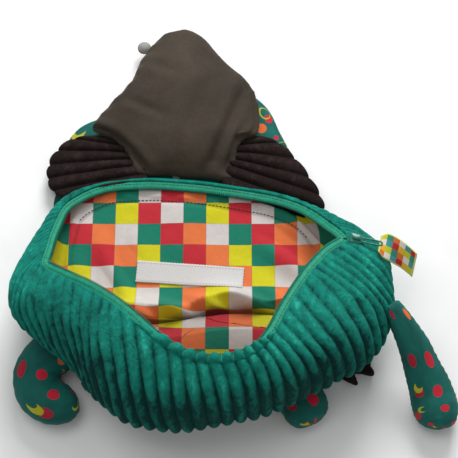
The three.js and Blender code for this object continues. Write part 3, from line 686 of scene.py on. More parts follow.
class Nodes:
    """Short way to put shader nodes into a new material."""

    def __init__(self, name, colour, roughness):
        self.material = bpy.data.materials.new(name)
        self.material.use_nodes = True
        self.tree = self.material.node_tree
        self.shader = self.tree.nodes["Principled BSDF"]
        self.material.diffuse_color = (*colour[:3], 1)
        self.shader.inputs["Base Color"].default_value = (*colour[:3], 1)
        self.shader.inputs["Roughness"].default_value = roughness
        self.shader.inputs["Specular IOR Level"].default_value = 0.3

    def sheen(self, weight, roughness, tint):
        """The soft light along the edges of the fibres."""
        self.shader.inputs["Sheen Weight"].default_value = weight
        self.shader.inputs["Sheen Roughness"].default_value = roughness
        self.shader.inputs["Sheen Tint"].default_value = (*tint, 1)

    def link(self, source, target):
        """Joins an output to an input."""
        self.tree.links.new(source, target)

    def set(self, node, **inputs):
        """Links or sets a node's inputs, with _ for a space in their names."""
        for name, value in inputs.items():
            socket = node.inputs[int(name[1:]) if name[1:].isdigit() else name.replace("_", " ")]
            if isinstance(value, bpy.types.NodeSocket):
                self.link(value, socket)
            else:
                socket.default_value = value
        return node

    def place(self, kind="Object"):
        """The coordinates that a texture lies in."""
        return self.tree.nodes.new("ShaderNodeTexCoord").outputs[kind]

    def attribute(self, name):
        """A number stored at the piece's points."""
        node = self.tree.nodes.new("ShaderNodeAttribute")
        node.attribute_name = name
        return node.outputs["Fac"]

    def noise(self, vector, scale, detail=2.0, roughness=0.5, distortion=0.0):
        """Soft cloudy values round one half."""
        node = self.tree.nodes.new("ShaderNodeTexNoise")
        self.set(
            node, Vector=vector, Scale=scale, Detail=detail, Roughness=roughness, Distortion=distortion)
        return node.outputs["Fac"]

    def wave(self, vector, scale, distortion, direction):
        """Even bands across a direction."""
        node = self.tree.nodes.new("ShaderNodeTexWave")
        node.bands_direction = direction
        self.set(node, Vector=vector, Scale=scale, Distortion=distortion)
        return node.outputs["Fac"]

    def weave(self, vector, scale, distortion):
        """Threads that cross: one wave times the other."""
        along = self.wave(vector, scale, distortion, "X")
        return self.math("MULTIPLY", along, self.wave(vector, scale, distortion, "Y"))

    def cells(self, vector, scale, randomness):
        """Flat cells round scattered spots."""
        node = self.tree.nodes.new("ShaderNodeTexVoronoi")
        node.voronoi_dimensions = "2D"
        self.set(node, Vector=vector, Scale=scale, Randomness=randomness)
        return node

    def math(self, operation, a, b=0.0, clamp=False):
        """Arithmetic on two numbers or outputs."""
        node = self.tree.nodes.new("ShaderNodeMath")
        node.operation = operation
        node.use_clamp = clamp
        return self.set(node, _0=a, _1=b).outputs[0]

    def from_middle(self, value, middle=0.5):
        """How far a value is from the middle."""
        return self.math("ABSOLUTE", self.math("SUBTRACT", value, middle))

    def vector(self, operation, a, b=(0, 0, 0)):
        """Arithmetic on two vectors, or a vector's length."""
        node = self.tree.nodes.new("ShaderNodeVectorMath")
        node.operation = operation
        self.set(node, _0=a, _1=b)
        return node.outputs["Value" if operation == "LENGTH" else "Vector"]

    def parts(self, vector):
        """A vector's X, Y and Z."""
        node = self.tree.nodes.new("ShaderNodeSeparateXYZ")
        return self.set(node, Vector=vector).outputs

    def joined(self, x, y, z=0.0):
        """A vector from its three parts."""
        node = self.tree.nodes.new("ShaderNodeCombineXYZ")
        return self.set(node, X=x, Y=y, Z=z).outputs[0]

    def ramp(self, fac, stops, kind="LINEAR"):
        """A colour for each value, from stops of place and colour."""
        node = self.tree.nodes.new("ShaderNodeValToRGB")
        node.color_ramp.interpolation = kind
        elements = node.color_ramp.elements
        while len(elements) < len(stops):
            elements.new(1.0)
        for element, (place, colour) in zip(elements, stops):
            element.position = place
            element.color = (*colour, 1)
        self.link(fac, node.inputs["Fac"])
        return node.outputs["Color"]

    def mix(self, fac, a, b, blend="MIX"):
        """Two colours mixed by a share."""
        node = self.tree.nodes.new("ShaderNodeMix")
        node.data_type = "RGBA"
        node.blend_type = blend
        for name, value in (("Factor_Float", fac), ("A_Color", a), ("B_Color", b)):
            socket = next(s for s in node.inputs if s.identifier == name)
            if isinstance(value, bpy.types.NodeSocket):
                self.link(value, socket)
            else:
                socket.default_value = (*value[:3], 1) if name != "Factor_Float" else value
        return next(s for s in node.outputs if s.identifier == "Result_Color")

    def colour(self, socket):
        """Takes an output as the surface's colour."""
        self.link(socket, self.shader.inputs["Base Color"])

    def relief(self, height, distance, strength=1.0, under=None):
        """Bumps the surface by a height, over a relief that is there already."""
        node = self.tree.nodes.new("ShaderNodeBump")
        self.set(node, Height=height, Distance=distance, Strength=strength)
        if under is not None:
            self.link(under, node.inputs["Normal"])
        self.link(node.outputs["Normal"], self.shader.inputs["Normal"])
        return node.outputs["Normal"]


def toned(colour, factor, lift=0.0):
    """A darker or lighter tone of a colour."""
    return tuple(min(1, part * factor + lift) for part in colour)


def shared(name, maker, *rest):
    """A material of ours by name, made when it is first asked for."""
    return bpy.data.materials.get(name) or maker(name, *rest)


def plush_material(name, crest, shade, light):
    """Short ribbed plush: pressed patches, painted shade in the grooves, painted highlight on the
    crests, fine fibres and a soft sheen.
    """
    m = Nodes(name, crest, 1.0)
    m.shader.inputs["Specular IOR Level"].default_value = 0.12
    m.sheen(0.3, 0.35, light)
    place = m.place()
    stretched = m.vector("MULTIPLY", place, (1.0, 0.72, 0.55))
    patches = m.noise(stretched, 85.0, detail=4.0, roughness=0.62, distortion=0.9)
    strokes = m.noise(stretched, 330.0, detail=4.0, roughness=0.65, distortion=0.6)
    # painted shading: shade is the painted shade of grooves and the front wall, light the painted
    # highlight on crests; the patches and strokes add random tone
    painted_shading = m.attribute("painted_shading")
    mixed = m.math("ADD", m.math("MULTIPLY", patches, 0.6), m.math("MULTIPLY", strokes, 0.4))
    spread = m.math("MULTIPLY", m.math("SUBTRACT", mixed, 0.5), 2.3)
    level = m.math("ADD", painted_shading, spread, clamp=True)
    middle = tuple((2 * a + 3 * b) / 5 for a, b in zip(shade, crest))
    m.colour(m.ramp(level, [(0.0, shade), (0.42, middle), (0.78, crest), (1.0, light)]))
    fibres = m.noise(place, 1300.0, detail=3.0, roughness=0.7)
    tufts = m.relief(patches, 0.0035, strength=0.55)
    under = m.relief(strokes, 0.0014, strength=0.8, under=tufts)
    m.relief(fibres, 0.0005, strength=0.7, under=under)
    return m.material


def checked_material():
    """Printed cotton checks in five colours, with a plain weave, on a map with 1 to a check."""
    m = Nodes("checked_cotton", (0.62, 0.42, 0.2), 0.85)
    m.sheen(0.1, 0.5, (1, 1, 1))
    cloth = m.place("UV")
    x, y, _ = m.parts(cloth)
    colours = {
        "G": (0.003, 0.205, 0.130),
        "Y": (0.66, 0.62, 0.010),
        "O": (0.80, 0.190, 0.055),
        "R": (0.56, 0.022, 0.036),
        "W": (0.66, 0.62, 0.60),
    }
    chart = ["ROYW", "YWGO", "GOYW", "OYGR", "WGRO", "YRWG", "GWRO"]
    wide, high = len(chart[0]), len(chart)
    column = m.math("MODULO", m.math("FLOOR", x), float(wide))
    row = m.math("MODULO", m.math("FLOOR", y), float(high))
    cell = m.math("ADD", m.math("MULTIPLY", row, float(wide)), column)
    squares = "".join(chart)
    share = m.math("DIVIDE", m.math("ADD", cell, 0.5), float(len(squares)))
    stops = [(k / len(squares), colours[letter]) for k, letter in enumerate(squares)]
    printed = m.ramp(share, stops, "CONSTANT")
    edge_x = m.from_middle(m.math("FRACT", x))
    edge_y = m.from_middle(m.math("FRACT", y))
    edge = m.math("GREATER_THAN", m.math("MAXIMUM", edge_x, edge_y), 0.487)
    lined = m.mix(m.math("MULTIPLY", edge, 0.3), printed, (0.10, 0.07, 0.05))
    worn = m.noise(cloth, 2.4, detail=3.0, roughness=0.6)
    dusty = m.mix(m.math("MULTIPLY", worn, 0.28), lined, (0.40, 0.37, 0.33), "MULTIPLY")
    # painted shade: the print darkens deep in the folds, in front of the cross fold and by the hem
    painted_fold_shade = m.math("MULTIPLY", m.attribute("shade"), 0.88)
    m.colour(m.mix(painted_fold_shade, dusty, (0.05, 0.03, 0.03), "MULTIPLY"))
    threads = m.weave(cloth, 16.0, 0.4)
    creases = m.noise(cloth, 1.3, detail=4.0, roughness=0.55, distortion=0.5)
    under = m.relief(creases, 0.0022, strength=0.35)
    m.relief(threads, 0.00012, strength=0.6, under=under)
    return m.material


def tape_material(name, colour):
    """Woven polyester tape with a fine herringbone."""
    m = Nodes(name, colour, 0.62)
    m.sheen(0.08, 0.4, (0.4, 0.9, 0.7))
    place = m.place()
    fine = m.noise(place, 300.0, roughness=0.6)
    m.colour(m.ramp(fine, [(0.25, toned(colour, 0.62)), (0.7, colour)]))
    bones = m.wave(place, 260.0, 0.5, "DIAGONAL")
    m.relief(m.math("MULTIPLY", bones, m.wave(place, 300.0, 0.5, "Y")), 0.00015, strength=0.6)
    return m.material


def velour_material(colour):
    """Soft velour: slow changes of nap, fine fibres and a grey sheen."""
    m = Nodes("velour_cloth", colour, 0.9)
    m.sheen(0.22, 0.35, (0.55, 0.47, 0.38))
    place = m.place()
    nap = m.noise(place, 22.0, detail=4.0, roughness=0.6, distortion=0.4)
    fine = m.noise(place, 420.0, detail=3.0, roughness=0.7)
    mixed = m.math("ADD", m.math("MULTIPLY", nap, 0.7), m.math("MULTIPLY", fine, 0.3))
    m.colour(m.ramp(mixed, [(0.3, toned(colour, 0.62)), (0.5, colour), (0.72, toned(colour, 1.45))]))
    under = m.relief(nap, 0.0012, strength=0.25)
    m.relief(fine, 0.0003, strength=0.5, under=under)
    return m.material


def printed_material(name, ground, spacing):
    """Cotton printed with dots and crescents, read from a map in metres of cloth."""
    m = Nodes(name, ground, 0.8)
    m.sheen(0.05, 0.4, (0.5, 0.9, 0.8))
    cloth = m.place("UV")
    worn = m.noise(cloth, 55.0, detail=3.0, roughness=0.6)
    base = m.ramp(worn, [(0.3, toned(ground, 0.55)), (0.68, ground)])
    dots = m.cells(cloth, 1 / spacing, 0.75)
    hue = m.parts(dots.outputs["Color"])
    radius = m.math("ADD", m.math("MULTIPLY", hue[0], 0.17), 0.07)
    shown = m.math("LESS_THAN", dots.outputs["Distance"], radius)
    inks = [(0.0, (0.55, 0.015, 0.035)), (0.62, (0.36, 0.012, 0.03)), (0.8, (0.75, 0.14, 0.03))]
    ink = m.ramp(hue[1], inks, "CONSTANT")
    dotted = m.mix(shown, base, ink)
    shifted = m.vector("ADD", cloth, (spacing * 0.52, spacing * 0.47, 0))
    curls = m.cells(shifted, 1 / (spacing * 1.35), 0.55)
    offset = m.vector("SUBTRACT", shifted, curls.outputs["Position"])
    turn = m.parts(curls.outputs["Color"])
    # a crescent is a disc less a smaller one beside it
    beside, disc, bite = 0.0052, 0.0036, 0.0029
    hollow = m.vector("ADD", offset, m.joined(
        m.math("MULTIPLY", m.math("SUBTRACT", turn[0], 0.5), beside),
        m.math("MULTIPLY", m.math("SUBTRACT", turn[1], 0.5), beside)))
    outer = m.math("LESS_THAN", m.vector("LENGTH", offset), disc)
    inner = m.math("GREATER_THAN", m.vector("LENGTH", hollow), bite)
    chosen = m.math("GREATER_THAN", turn[2], 0.3)
    crescent = m.math("MULTIPLY", m.math("MULTIPLY", outer, inner), chosen)
    lime = m.ramp(worn, [(0.3, (0.30, 0.33, 0.01)), (0.7, (0.52, 0.50, 0.02))])
    m.colour(m.mix(crescent, dotted, lime))
    threads = m.weave(cloth, 330.0, 0.4)
    creases = m.noise(cloth, 60.0, detail=3.0, distortion=0.8)
    under = m.relief(creases, 0.0012, strength=0.3)
    m.relief(threads, 0.0001, strength=0.5, under=under)
    return m.material


def plain_material(name, colour, roughness, grain=900.0, depth=0.0001):
    """Small trim with a fine grain."""
    m = Nodes(name, colour, roughness)
    fine = m.noise(m.place(), grain, roughness=0.6)
    m.colour(m.ramp(fine, [(0.3, toned(colour, 0.72)), (0.7, colour)]))
    m.relief(fine, depth, strength=0.5)
    return m.material


def tab_material():
    """Little printed squares on the pull tab, inside a pale border."""
    m = Nodes("tab_cotton", (0.75, 0.45, 0.2), 0.8)
    cloth = m.place("UV")
    x, y, _ = m.parts(cloth)
    colours = [
        (0.72, 0.16, 0.04), (0.56, 0.55, 0.02), (0.50, 0.02, 0.03), (0.74, 0.71, 0.66),
        (0.03, 0.25, 0.16), (0.75, 0.45, 0.03), (0.06, 0.30, 0.30),
    ]
    hues = len(colours)
    column = m.math("FLOOR", m.math("MULTIPLY", x, 6.0))
    row = m.math("FLOOR", m.math("MULTIPLY", y, 4.0))
    order = m.math("ADD", m.math("MULTIPLY", column, 3.0), m.math("MULTIPLY", row, 5.0))
    cell = m.math("MODULO", order, float(hues))
    printed = m.ramp(
        m.math("DIVIDE", m.math("ADD", cell, 0.5), float(hues)),
        [(k / hues, colour) for k, colour in enumerate(colours)], "CONSTANT")
    border = m.math("GREATER_THAN", m.math("MAXIMUM", m.from_middle(x), m.from_middle(y)), 0.455)
    m.colour(m.mix(border, printed, (0.66, 0.62, 0.20)))
    m.relief(m.noise(cloth, 60.0, roughness=0.6), 0.0001, strength=0.5)
    return m.material


# Geometry Nodes


def tree_inputs(name, inputs):
    """A node tree with a geometry in and out and named inputs."""
    tree = bpy.data.node_groups.new(name, "GeometryNodeTree")
    tree.interface.new_socket("Geometry", in_out="INPUT", socket_type="NodeSocketGeometry")
    tree.interface.new_socket("Geometry", in_out="OUTPUT", socket_type="NodeSocketGeometry")
    for label, kind, value in inputs:
        socket = tree.interface.new_socket(label, in_out="INPUT", socket_type=kind)
        if value is not None:
            socket.default_value = value
    return tree, tree.nodes.new("NodeGroupInput"), tree.nodes.new("NodeGroupOutput")


def row_along_path(name, path, pitch, link_size, tilt, material):
    """Repeats one small link along a path and returns the plain mesh of the row.

    The path is in millimetres of the drawing; pitch and link_size, which is a link's length and
    thickness, are in metres.
    """
    tree, given, result = tree_inputs(name, [
        ("Pitch", "NodeSocketFloat", 0.0015),
        ("Length", "NodeSocketFloat", 0.002),
        ("Thickness", "NodeSocketFloat", 0.0008),
        ("Tilt", "NodeSocketFloat", 0.0),
        ("Material", "NodeSocketMaterial", None),
    ])
    nodes, links = tree.nodes, tree.links
    curve = nodes.new("GeometryNodeMeshToCurve")
    points = nodes.new("GeometryNodeCurveToPoints")
    points.mode = "LENGTH"
    ball = nodes.new("GeometryNodeMeshUVSphere")
    ball.inputs["Segments"].default_value = 8
    ball.inputs["Rings"].default_value = 5
    ball.inputs["Radius"].default_value = 0.5
    size = nodes.new("ShaderNodeCombineXYZ")
    shaped = nodes.new("GeometryNodeTransform")
    turn = nodes.new("ShaderNodeCombineXYZ")
    spin = nodes.new("FunctionNodeRotateRotation")
    spin.rotation_space = "LOCAL"
    euler = nodes.new("FunctionNodeEulerToRotation")
    put = nodes.new("GeometryNodeInstanceOnPoints")
    real = nodes.new("GeometryNodeRealizeInstances")
    paint = nodes.new("GeometryNodeSetMaterial")
    smooth = nodes.new("GeometryNodeSetShadeSmooth")
    for source, out, target, into in (
        (given, "Geometry", curve, "Mesh"),
        (curve, "Curve", points, "Curve"),
        (given, "Pitch", points, "Length"),
        (given, "Thickness", size, "X"),
        (given, "Thickness", size, "Y"),
        (given, "Length", size, "Z"),
        (ball, "Mesh", shaped, "Geometry"),
        (size, 0, shaped, "Scale"),
        (given, "Tilt", turn, "X"),
        (turn, 0, euler, 0),
        (points, "Rotation", spin, "Rotation"),
        (euler, 0, spin, "Rotate By"),
        (points, "Points", put, "Points"),
        (shaped, "Geometry", put, "Instance"),
        (spin, 0, put, "Rotation"),
        (put, "Instances", smooth, "Geometry"),
        (smooth, "Geometry", real, "Geometry"),
        (real, "Geometry", paint, "Geometry"),
        (given, "Material", paint, "Material"),
        (paint, "Geometry", result, "Geometry"),
    ):
        links.new(source.outputs[out], target.inputs[into])

    line = bpy.data.meshes.new(name)
    line.from_pydata(in_frame(path).tolist(), [(k, k + 1) for k in range(len(path) - 1)], [])
    piece = bpy.data.objects.new(name, line)
    bpy.context.scene.collection.objects.link(piece)
    modifier = piece.modifiers.new("Row", "NODES")
    modifier.node_group = tree
    length, thickness = link_size
    values = {
        "Pitch": pitch, "Length": length, "Thickness": thickness, "Tilt": tilt, "Material": material,
    }
    for item in tree.interface.items_tree:
        if item.in_out == "INPUT" and item.name in values:
            modifier[item.identifier] = values[item.name]
    piece.update_tag()
    bpy.context.view_layer.update()
    return settled(piece)


# Pieces


def rib_profile(phase):
    """Height of a rib from 0 in the groove to 1 on its crest."""
    return np.abs(np.sin(np.pi * phase)) ** 0.6


# Where a rib that starts on the rim comes down on the belly, in stations
RIB_RIM = [-2, -1, 0, 1.75, 2.4, 5.75, 8, 9.75, 11.75, 13.2, 15, 15.5, 16.2, 17, 18]
RIB_BELLY = [-2, -0.6, 1.3, 3.2, 4.0, 6.25, 7.9, 9.0, 9.9, 11.3, 12.9, 13.5, 14.9, 16.4, 18]


def rib_phase(shares, rows, count):
    """Ribs counted round the bag; on the upper wall they hang straight from the rim."""
    total = len(STATIONS)
    place = stations_at(shares)
    wrapped = np.where(place > total - 2, place - total, place)
    leaned = np.where(wrapped < RIB_RIM[-1], np.interp(wrapped, RIB_RIM, RIB_BELLY), wrapped)
    lean = leaned - wrapped
    down = np.clip(1 - np.asarray(rows) / WALL_ROWS, 0, 1)
    eased = place[None, :] + lean[None, :] * down[:, None]
    even = np.interp(eased.ravel() / total, EVEN_PLACES, EVEN_SHARES)
    return even.reshape(eased.shape) * count


def shell_rows():
    """Rows of the wall, closer where it turns over the rim and on to the table."""
    top = np.linspace(0, 1, 17)[:-1]
    middle = np.linspace(1, WALL_ROWS + 1, 46)[:-1]
    under = np.linspace(WALL_ROWS + 1, LAST_ROW, 11)
    return np.concatenate([top, middle, under])


def webbing_lines():
    """Middle lines of the straps and of the webbing under the back panel."""
    neck = np.array([FLAP_SHIFT, NECK_Y])
    found = {}
    routes = (("left", LEFT_STRAP, LEFT_WEBBING), ("right", RIGHT_STRAP, RIGHT_WEBBING))
    for side, route, below in routes:
        strap = Line(neck + np.array(route) * STRAP_REACH)
        heading = strap.tangent([1.0])[0]
        end = strap.at([1.0])[0]
        run = [end + heading * GAP, end + heading * WEBBING_WIDTH / 2]
        run += [end + np.array([x, y, 0]) * WEBBING_REACH for x, y in below]
        found[side] = (strap, Line(run))
    return found


def flat_distance(points, line):
    """Level distance from points to a line."""
    run = line.at(np.linspace(0, 1, 200))[:, :2]
    away = points[..., None, :2] - run
    return np.sqrt((away**2).sum(-1)).min(-1)


# Columns of points on each rib, the rib's height at which the wall itself lies, and the painted
# shading at the ends of a closed body
COLUMNS_PER_RIB = 9
RIB_BASE = 0.35
POLE_SHADING = 0.3


class BACKPACK_OT_shell(bpy.types.Operator):
    """Ribbed plush body with its rolled rim and flat back panel"""

    bl_idname = "backpack.shell"
    bl_label = "Plush body"

    def execute(self, context):
        settings = context.scene.backpack_body
        count = round(BELLY.length / (settings.rib_pitch / MM))
        columns = count * COLUMNS_PER_RIB
        shares = BELLY.spaced(np.arange(columns) / columns)
        rows = shell_rows()
        points, normals = wall(shares, rows)
        wander = unrest(points, 60, seed=7) * 0.16
        rib = rib_profile(rib_phase(shares, rows, count) + wander)
        strength = around(7, shares)
        # ribs are full on the wall and die out where it lies on the table
        arc = np.sin(np.clip(rows / LAST_ROW, 0, 1) * np.pi)
        fade = np.minimum(1, 1.6 * arc)
        fade = np.maximum(fade, 0.8 * (rows < WALL_ROWS - 0.5))
        low = rows > LAST_ROW - 0.8
        fade[low] = np.clip((LAST_ROW - rows[low]) / 0.8, 0, 1)
        crush = self.crushed(shares, rows) * (0.75 + 0.5 * unrest(points, 24, seed=8))
        tall = settings.rib_height / MM
        level = np.clip(strength[None, :] * fade[:, None] * (1 - crush), 0, 1)
        rise = level * (rib - RIB_BASE) * tall
        slow = unrest(points, 46, seed=5) * 1.2 + unrest(points, 15, seed=6) * 0.5
        slow = slow + unrest(points, 7, seed=9) * 0.22
        calm = np.clip(arc * 1.5, 0.12, 1)[:, None]
        outer = points + normals * (rise + slow * calm * np.clip(strength + 0.2, 0, 1))[..., None]
        outer[..., 2] = np.maximum(outer[..., 2], 0)
        outer[-1, :, 2] = 0
        roll = self.rim_roll(outer[0], shares, rib[0])
        inner, inner_normals = wall(shares, np.linspace(0.35, LAST_ROW, 12))
        inner = inner - inner_normals * PLUSH_WALL
        inner[..., 2] = np.maximum(inner[..., 2], BACK_PANEL)
        under = self.back_panel(outer[-1])
        rings = np.concatenate([under[::-1], outer[::-1], roll, inner])
        # painted shading: painted shade in the grooves and low on the front wall, painted highlight on
        # the crests; ribs pressed flat, the roll, the back panel and the inside get fixed middle tones
        shown = np.clip(level * 1.3, 0, 1)
        crest = (0.02 + 0.72 * rib) * shown + 0.5 * (1 - shown)
        place = stations_at(shares)
        # painted shade low on the front wall, which faces away from the light from above
        front = np.clip(np.minimum(place - 1.5, 14.5 - place) / 3, 0, 1)
        crest -= 0.6 * front * np.clip((rows[:, None] - 0.9 - 0.5 * rib) / 1.2, 0, 1)
        painted_shading = np.concatenate([
            np.full(under.shape[:2], 0.35), crest[::-1], np.full(roll.shape[:2], 0.62),
            np.full(inner.shape[:2], POLE_SHADING),
        ])
        body, faces = capped(rings)
        piece = make_mesh("plush_body", body, faces)
        point_attribute(piece, "painted_shading", np.concatenate([painted_shading.ravel(), [POLE_SHADING] * 2]))
        face_out(piece)
        crest_colour = tuple(settings.plush_colour)
        # painted highlight colour for the brightest crests, also the sheen's tint
        light = toned(crest_colour, 1.5, 0.015)
        material = plush_material("green_plush", crest_colour, tuple(settings.shade_colour), light)
        dress(piece, material, "plush", "shell")
        return {"FINISHED"}

    @staticmethod
    def crushed(shares, rows):
        """How flat the ribs are pressed: near the rim, most of all at both ends of the zip."""
        place = stations_at(shares)
        near_left = np.clip(bump(place, 14.6, 2.4) + 0.6 * bump(place, 11.8, 1.6), 0, 1)
        side = bump(place, 0.3, 1.3) + bump(place, 26.3, 1.3)
        near_right = np.clip(side + 0.6 * bump(place, 2.6, 1.8), 0, 1)
        reach = 1.2 + 2.0 * near_left + 1.4 * near_right + 3.0 * side
        high = np.clip(1.25 - rows[:, None] / reach[None, :], 0, 1)
        return np.clip((0.9 * near_left + 0.75 * near_right)[None, :] * high, 0, 0.92)

    @staticmethod
    def rim_roll(ring, shares, rib):
        """The plush turned over the rim; at the front its beads lie over the tape."""
        inward = RIM.inward(shares)
        place = stations_at(shares)
        front = np.clip(np.minimum(place - 4.6, 10.9 - place) / 1.4, 0, 1) * (place < 12)
        reach = 1.3 + front * (2.8 + 3.4 * rib)
        swell = front * (0.6 + 2.4 * rib)
        rings = []
        for turn in np.linspace(0, math.pi, 9)[1:]:
            share = (1 - math.cos(turn)) / 2
            spot = ring + inward * (reach * share)[:, None]
            spot[:, 2] += swell * math.sin(turn) - 2.1 * share**2 + front * 0.9 * share
            rings.append(spot)
        return np.array(rings)

    @staticmethod
    def back_panel(ring):
        """The padded back on the table, with room for the webbing under it."""
        centre = ring.mean(axis=0)
        lines = webbing_lines()
        rings = []
        for share in np.linspace(1, 0.06, 14)[1:]:
            spot = centre + (ring - centre) * share
            near = np.min([flat_distance(spot, webbing) for _, webbing in lines.values()], axis=0)
            channel = np.clip((WEBBING_WIDTH / 2 + 6 - near) / 4, 0, 1)
            spot[:, 2] = 0.15 + 1.75 * channel
            rings.append(spot)
        return np.array(rings)


def fold_line(x):
    """How far back the deep cross fold runs at each place along the bag."""
    return -8.5 + 0.055 * x + 2.2 * np.sin(x / 19 + 0.6)


def fold_strength(x):
    """1 where the cross fold is full, falling to 0 at both its ends."""
    return np.clip(1 - (np.abs(x + 2) / 88) ** 2.6, 0, 1)


def fold_shade(points):
    """How deep in a fold the lining lies, from 0 to 1, as painted shade on the print, with painted
    shade in front of the fold and along the crease by the hem too.
    """
    x, y = points[..., 0], points[..., 1]
    side = fold_strength(x)
    away = y - fold_line(x)
    reach = 6.5 + 2.2 * np.sin(x / 9.5 + 0.4) + 1.2 * np.sin(x / 4.2)
    behind = np.exp(-((away / np.maximum(reach, 2)) ** 4))
    before = np.exp(-((away / 1.6) ** 2))
    deep = np.where(away > 0, behind, before)
    inside = flat_distance(points, RIM)
    # painted shade along the crease beside the hem and over the lining in front of the fold
    hem = bump(inside, HEM + 1.0, 0.9) * (y > 45)
    ahead = 0.42 * side * np.clip(-away / 3, 0, 1)
    return np.clip(side * deep * 0.9 + ahead + 0.45 * hem, 0, 1)


def slack(floor):
    """The floor's cloth: ripples over a ridge, a deep cross fold and the hump behind it."""
    floor = floor.copy()
    x, y = floor[..., 0].copy(), floor[..., 1].copy()
    side = fold_strength(x)
    away = y - fold_line(x)
    peak = 13 + 2.0 * np.sin(x / 9.5 + 0.4)
    climb, fall = np.clip(away / peak, 0, 1) ** 1.2, np.exp(-np.clip(away - peak, 0, 99) / 6)
    ridge = 12.5 * side * climb * fall
    waves = 2.4 * np.sin(x / 4.8 + 0.35 * y) + 1.4 * np.sin(x / 10.5 - 0.8)
    ripple = side * bump(away, 11, 7) * waves
    back = np.clip(-away / 13, 0, 1) ** 0.75
    hump = 13 * side * np.clip(1 - (np.clip(-away - 13, 0, 99) / 34) ** 2, 0, 1) * back
    slow = unrest(floor, 34, seed=21) * 0.9 + unrest(floor, 70, seed=22) * 1.2
    left = bump(x, -66, 26) * bump(y, 14, 30) * 2.8 * np.sin((x + 0.5 * y) / 4.4)
    right = bump(x, 58, 26) * bump(y, 42, 26) * 2.6 * np.sin((0.75 * x + y) / 5.4)
    inside = flat_distance(floor, RIM) * (y > 30) + 99 * (y <= 30)
    hem = 0.9 * np.sin(x / 3.1) * bump(inside, 10, 3.5) - 1.6 * bump(inside, HEM, 1.6)
    quiet = 1 - 0.85 * np.clip(label_cover(x, y), 0, 1)
    low = 0.8
    floor[..., 2] += hump + ridge + ripple + np.maximum((slow + left + right + hem) * quiet, -low) + low
    floor[..., 1] += side * (3.0 * bump(away, -2, 2.6) - 2.5 * bump(away, 9, 4))
    return floor


def label_cover(x, y):
    """1 under the name label, falling to 0 beside it."""
    along = (x - LABEL_X) * math.cos(LABEL_TURN) + (y - LABEL_Y) * math.sin(LABEL_TURN)
    up = -(x - LABEL_X) * math.sin(LABEL_TURN) + (y - LABEL_Y) * math.cos(LABEL_TURN)
    beside_ends = np.clip((LABEL_LENGTH / 2 + 5 - np.abs(along)) / 5, 0, 1)
    return beside_ends * np.clip((LABEL_HEIGHT / 2 + 4 - np.abs(up)) / 4, 0, 1)


class BACKPACK_OT_lining(bpy.types.Operator):
    """Checked lining hanging in the bag, with its hem stitching"""

    bl_idname = "backpack.lining"
    bl_label = "Lining"

    def execute(self, context):
        settings = context.scene.backpack_lining
        columns, wall_rows, floor_rows = 360, 30, 79
        shares = BELLY.spaced(np.arange(columns) / columns)
        rows = np.linspace(0, LAST_ROW, wall_rows)
        points, normals = wall(shares, rows)
        points = points - normals * (PLUSH_WALL + LINING_GAP)
        points[..., 2] = np.maximum(points[..., 2], LINING_FLOOR)
        points[0] = RIM.at(shares) + RIM.inward(shares) * 3.0 - np.array([0, 0, 2.6])
        slump = np.clip(np.sin(rows / LAST_ROW * np.pi), 0, 1)[:, None]
        sag = unrest(points, 30, seed=11) * 1.6 * slump
        points = points - normals * np.abs(sag)[..., None]
        edge = points[-1]
        centre = np.array([0.0, -10.0, LINING_FLOOR])
        steps = np.linspace(1, 0.01, floor_rows + 1)[1:]
        floor = np.array([centre + (edge - centre) * share for share in steps])
        # painted shade for the floor's folds; none on the wall
        shade = np.concatenate([np.zeros(points.shape[:2]), fold_shade(floor)])
        flat = np.concatenate([self.unrolled(points), floor[..., :2]])
        rings = np.concatenate([points, slack(floor)])
        uv = flat / (settings.check_size / MM)
        body = rings.reshape(-1, 3)
        faces = grid_faces(len(rings), columns)
        last = len(body)
        body = np.vstack([body, rings[-1].mean(axis=0)])
        end = (len(rings) - 1) * columns
        faces += [(last, end + k, end + (k + 1) % columns) for k in range(columns)]
        piece = make_mesh("checked_lining", body, faces)
        uv = np.vstack([uv.reshape(-1, 2), uv[-1].mean(axis=0)])
        # whole checks, which keep the map's numbers over 0
        corner_map(piece, uv + np.array([40.0, 43.0]))
        point_attribute(piece, "shade", np.concatenate([shade.ravel(), [0.0]]))
        if piece.data.polygons[len(faces) - 1].normal.z < 0:
            piece.data.flip_normals()
        dress(piece, checked_material(), "lining", "lining")
        modifier = piece.modifiers.new("Cloth thickness", "SOLIDIFY")
        modifier.thickness = LINING_CLOTH * MM
        modifier.offset = -1
        modifier.use_rim = True
        self.hem(context)
        return {"FINISHED"}

    @staticmethod
    def unrolled(points):
        """The wall's cloth laid out level from the edge of the floor, square to its wider run."""
        steps = np.linalg.norm(np.diff(points, axis=0), axis=2)
        climb = np.concatenate([np.cumsum(steps[::-1], axis=0)[::-1], np.zeros((1, points.shape[1]))])
        edge = points[-1, :, :2]
        span = 12
        out = np.roll(edge, -span, axis=0) - np.roll(edge, span, axis=0)
        out = np.column_stack([-out[:, 1], out[:, 0]])
        out /= np.linalg.norm(out, axis=1, keepdims=True) + 1e-9
        out *= np.sign((out * edge).sum())
        return edge[None] + out[None] * climb[..., None]

    @staticmethod
    def hem(context):
        """Dark stitches through the lining beside the back tape."""
        settings = context.scene.backpack_lining
        first, last, steps = 17.9, 24.7, 260
        shares = np.linspace(first, last, steps) / len(STATIONS)
        path = RIM.at(shares) + RIM.inward(shares) * HEM
        path[:, 2] = LINING_FLOOR
        path[:, 2] = slack(path)[:, 2] + 0.25
        thread = plain_material("hem_thread", (0.05, 0.035, 0.03), 0.7)
        stitch = (settings.stitch_pitch * 0.72, 0.7 * MM)
        piece = row_along_path("hem_stitches", path, settings.stitch_pitch, stitch, 0.0, thread)
        dress(piece, thread, "lining")


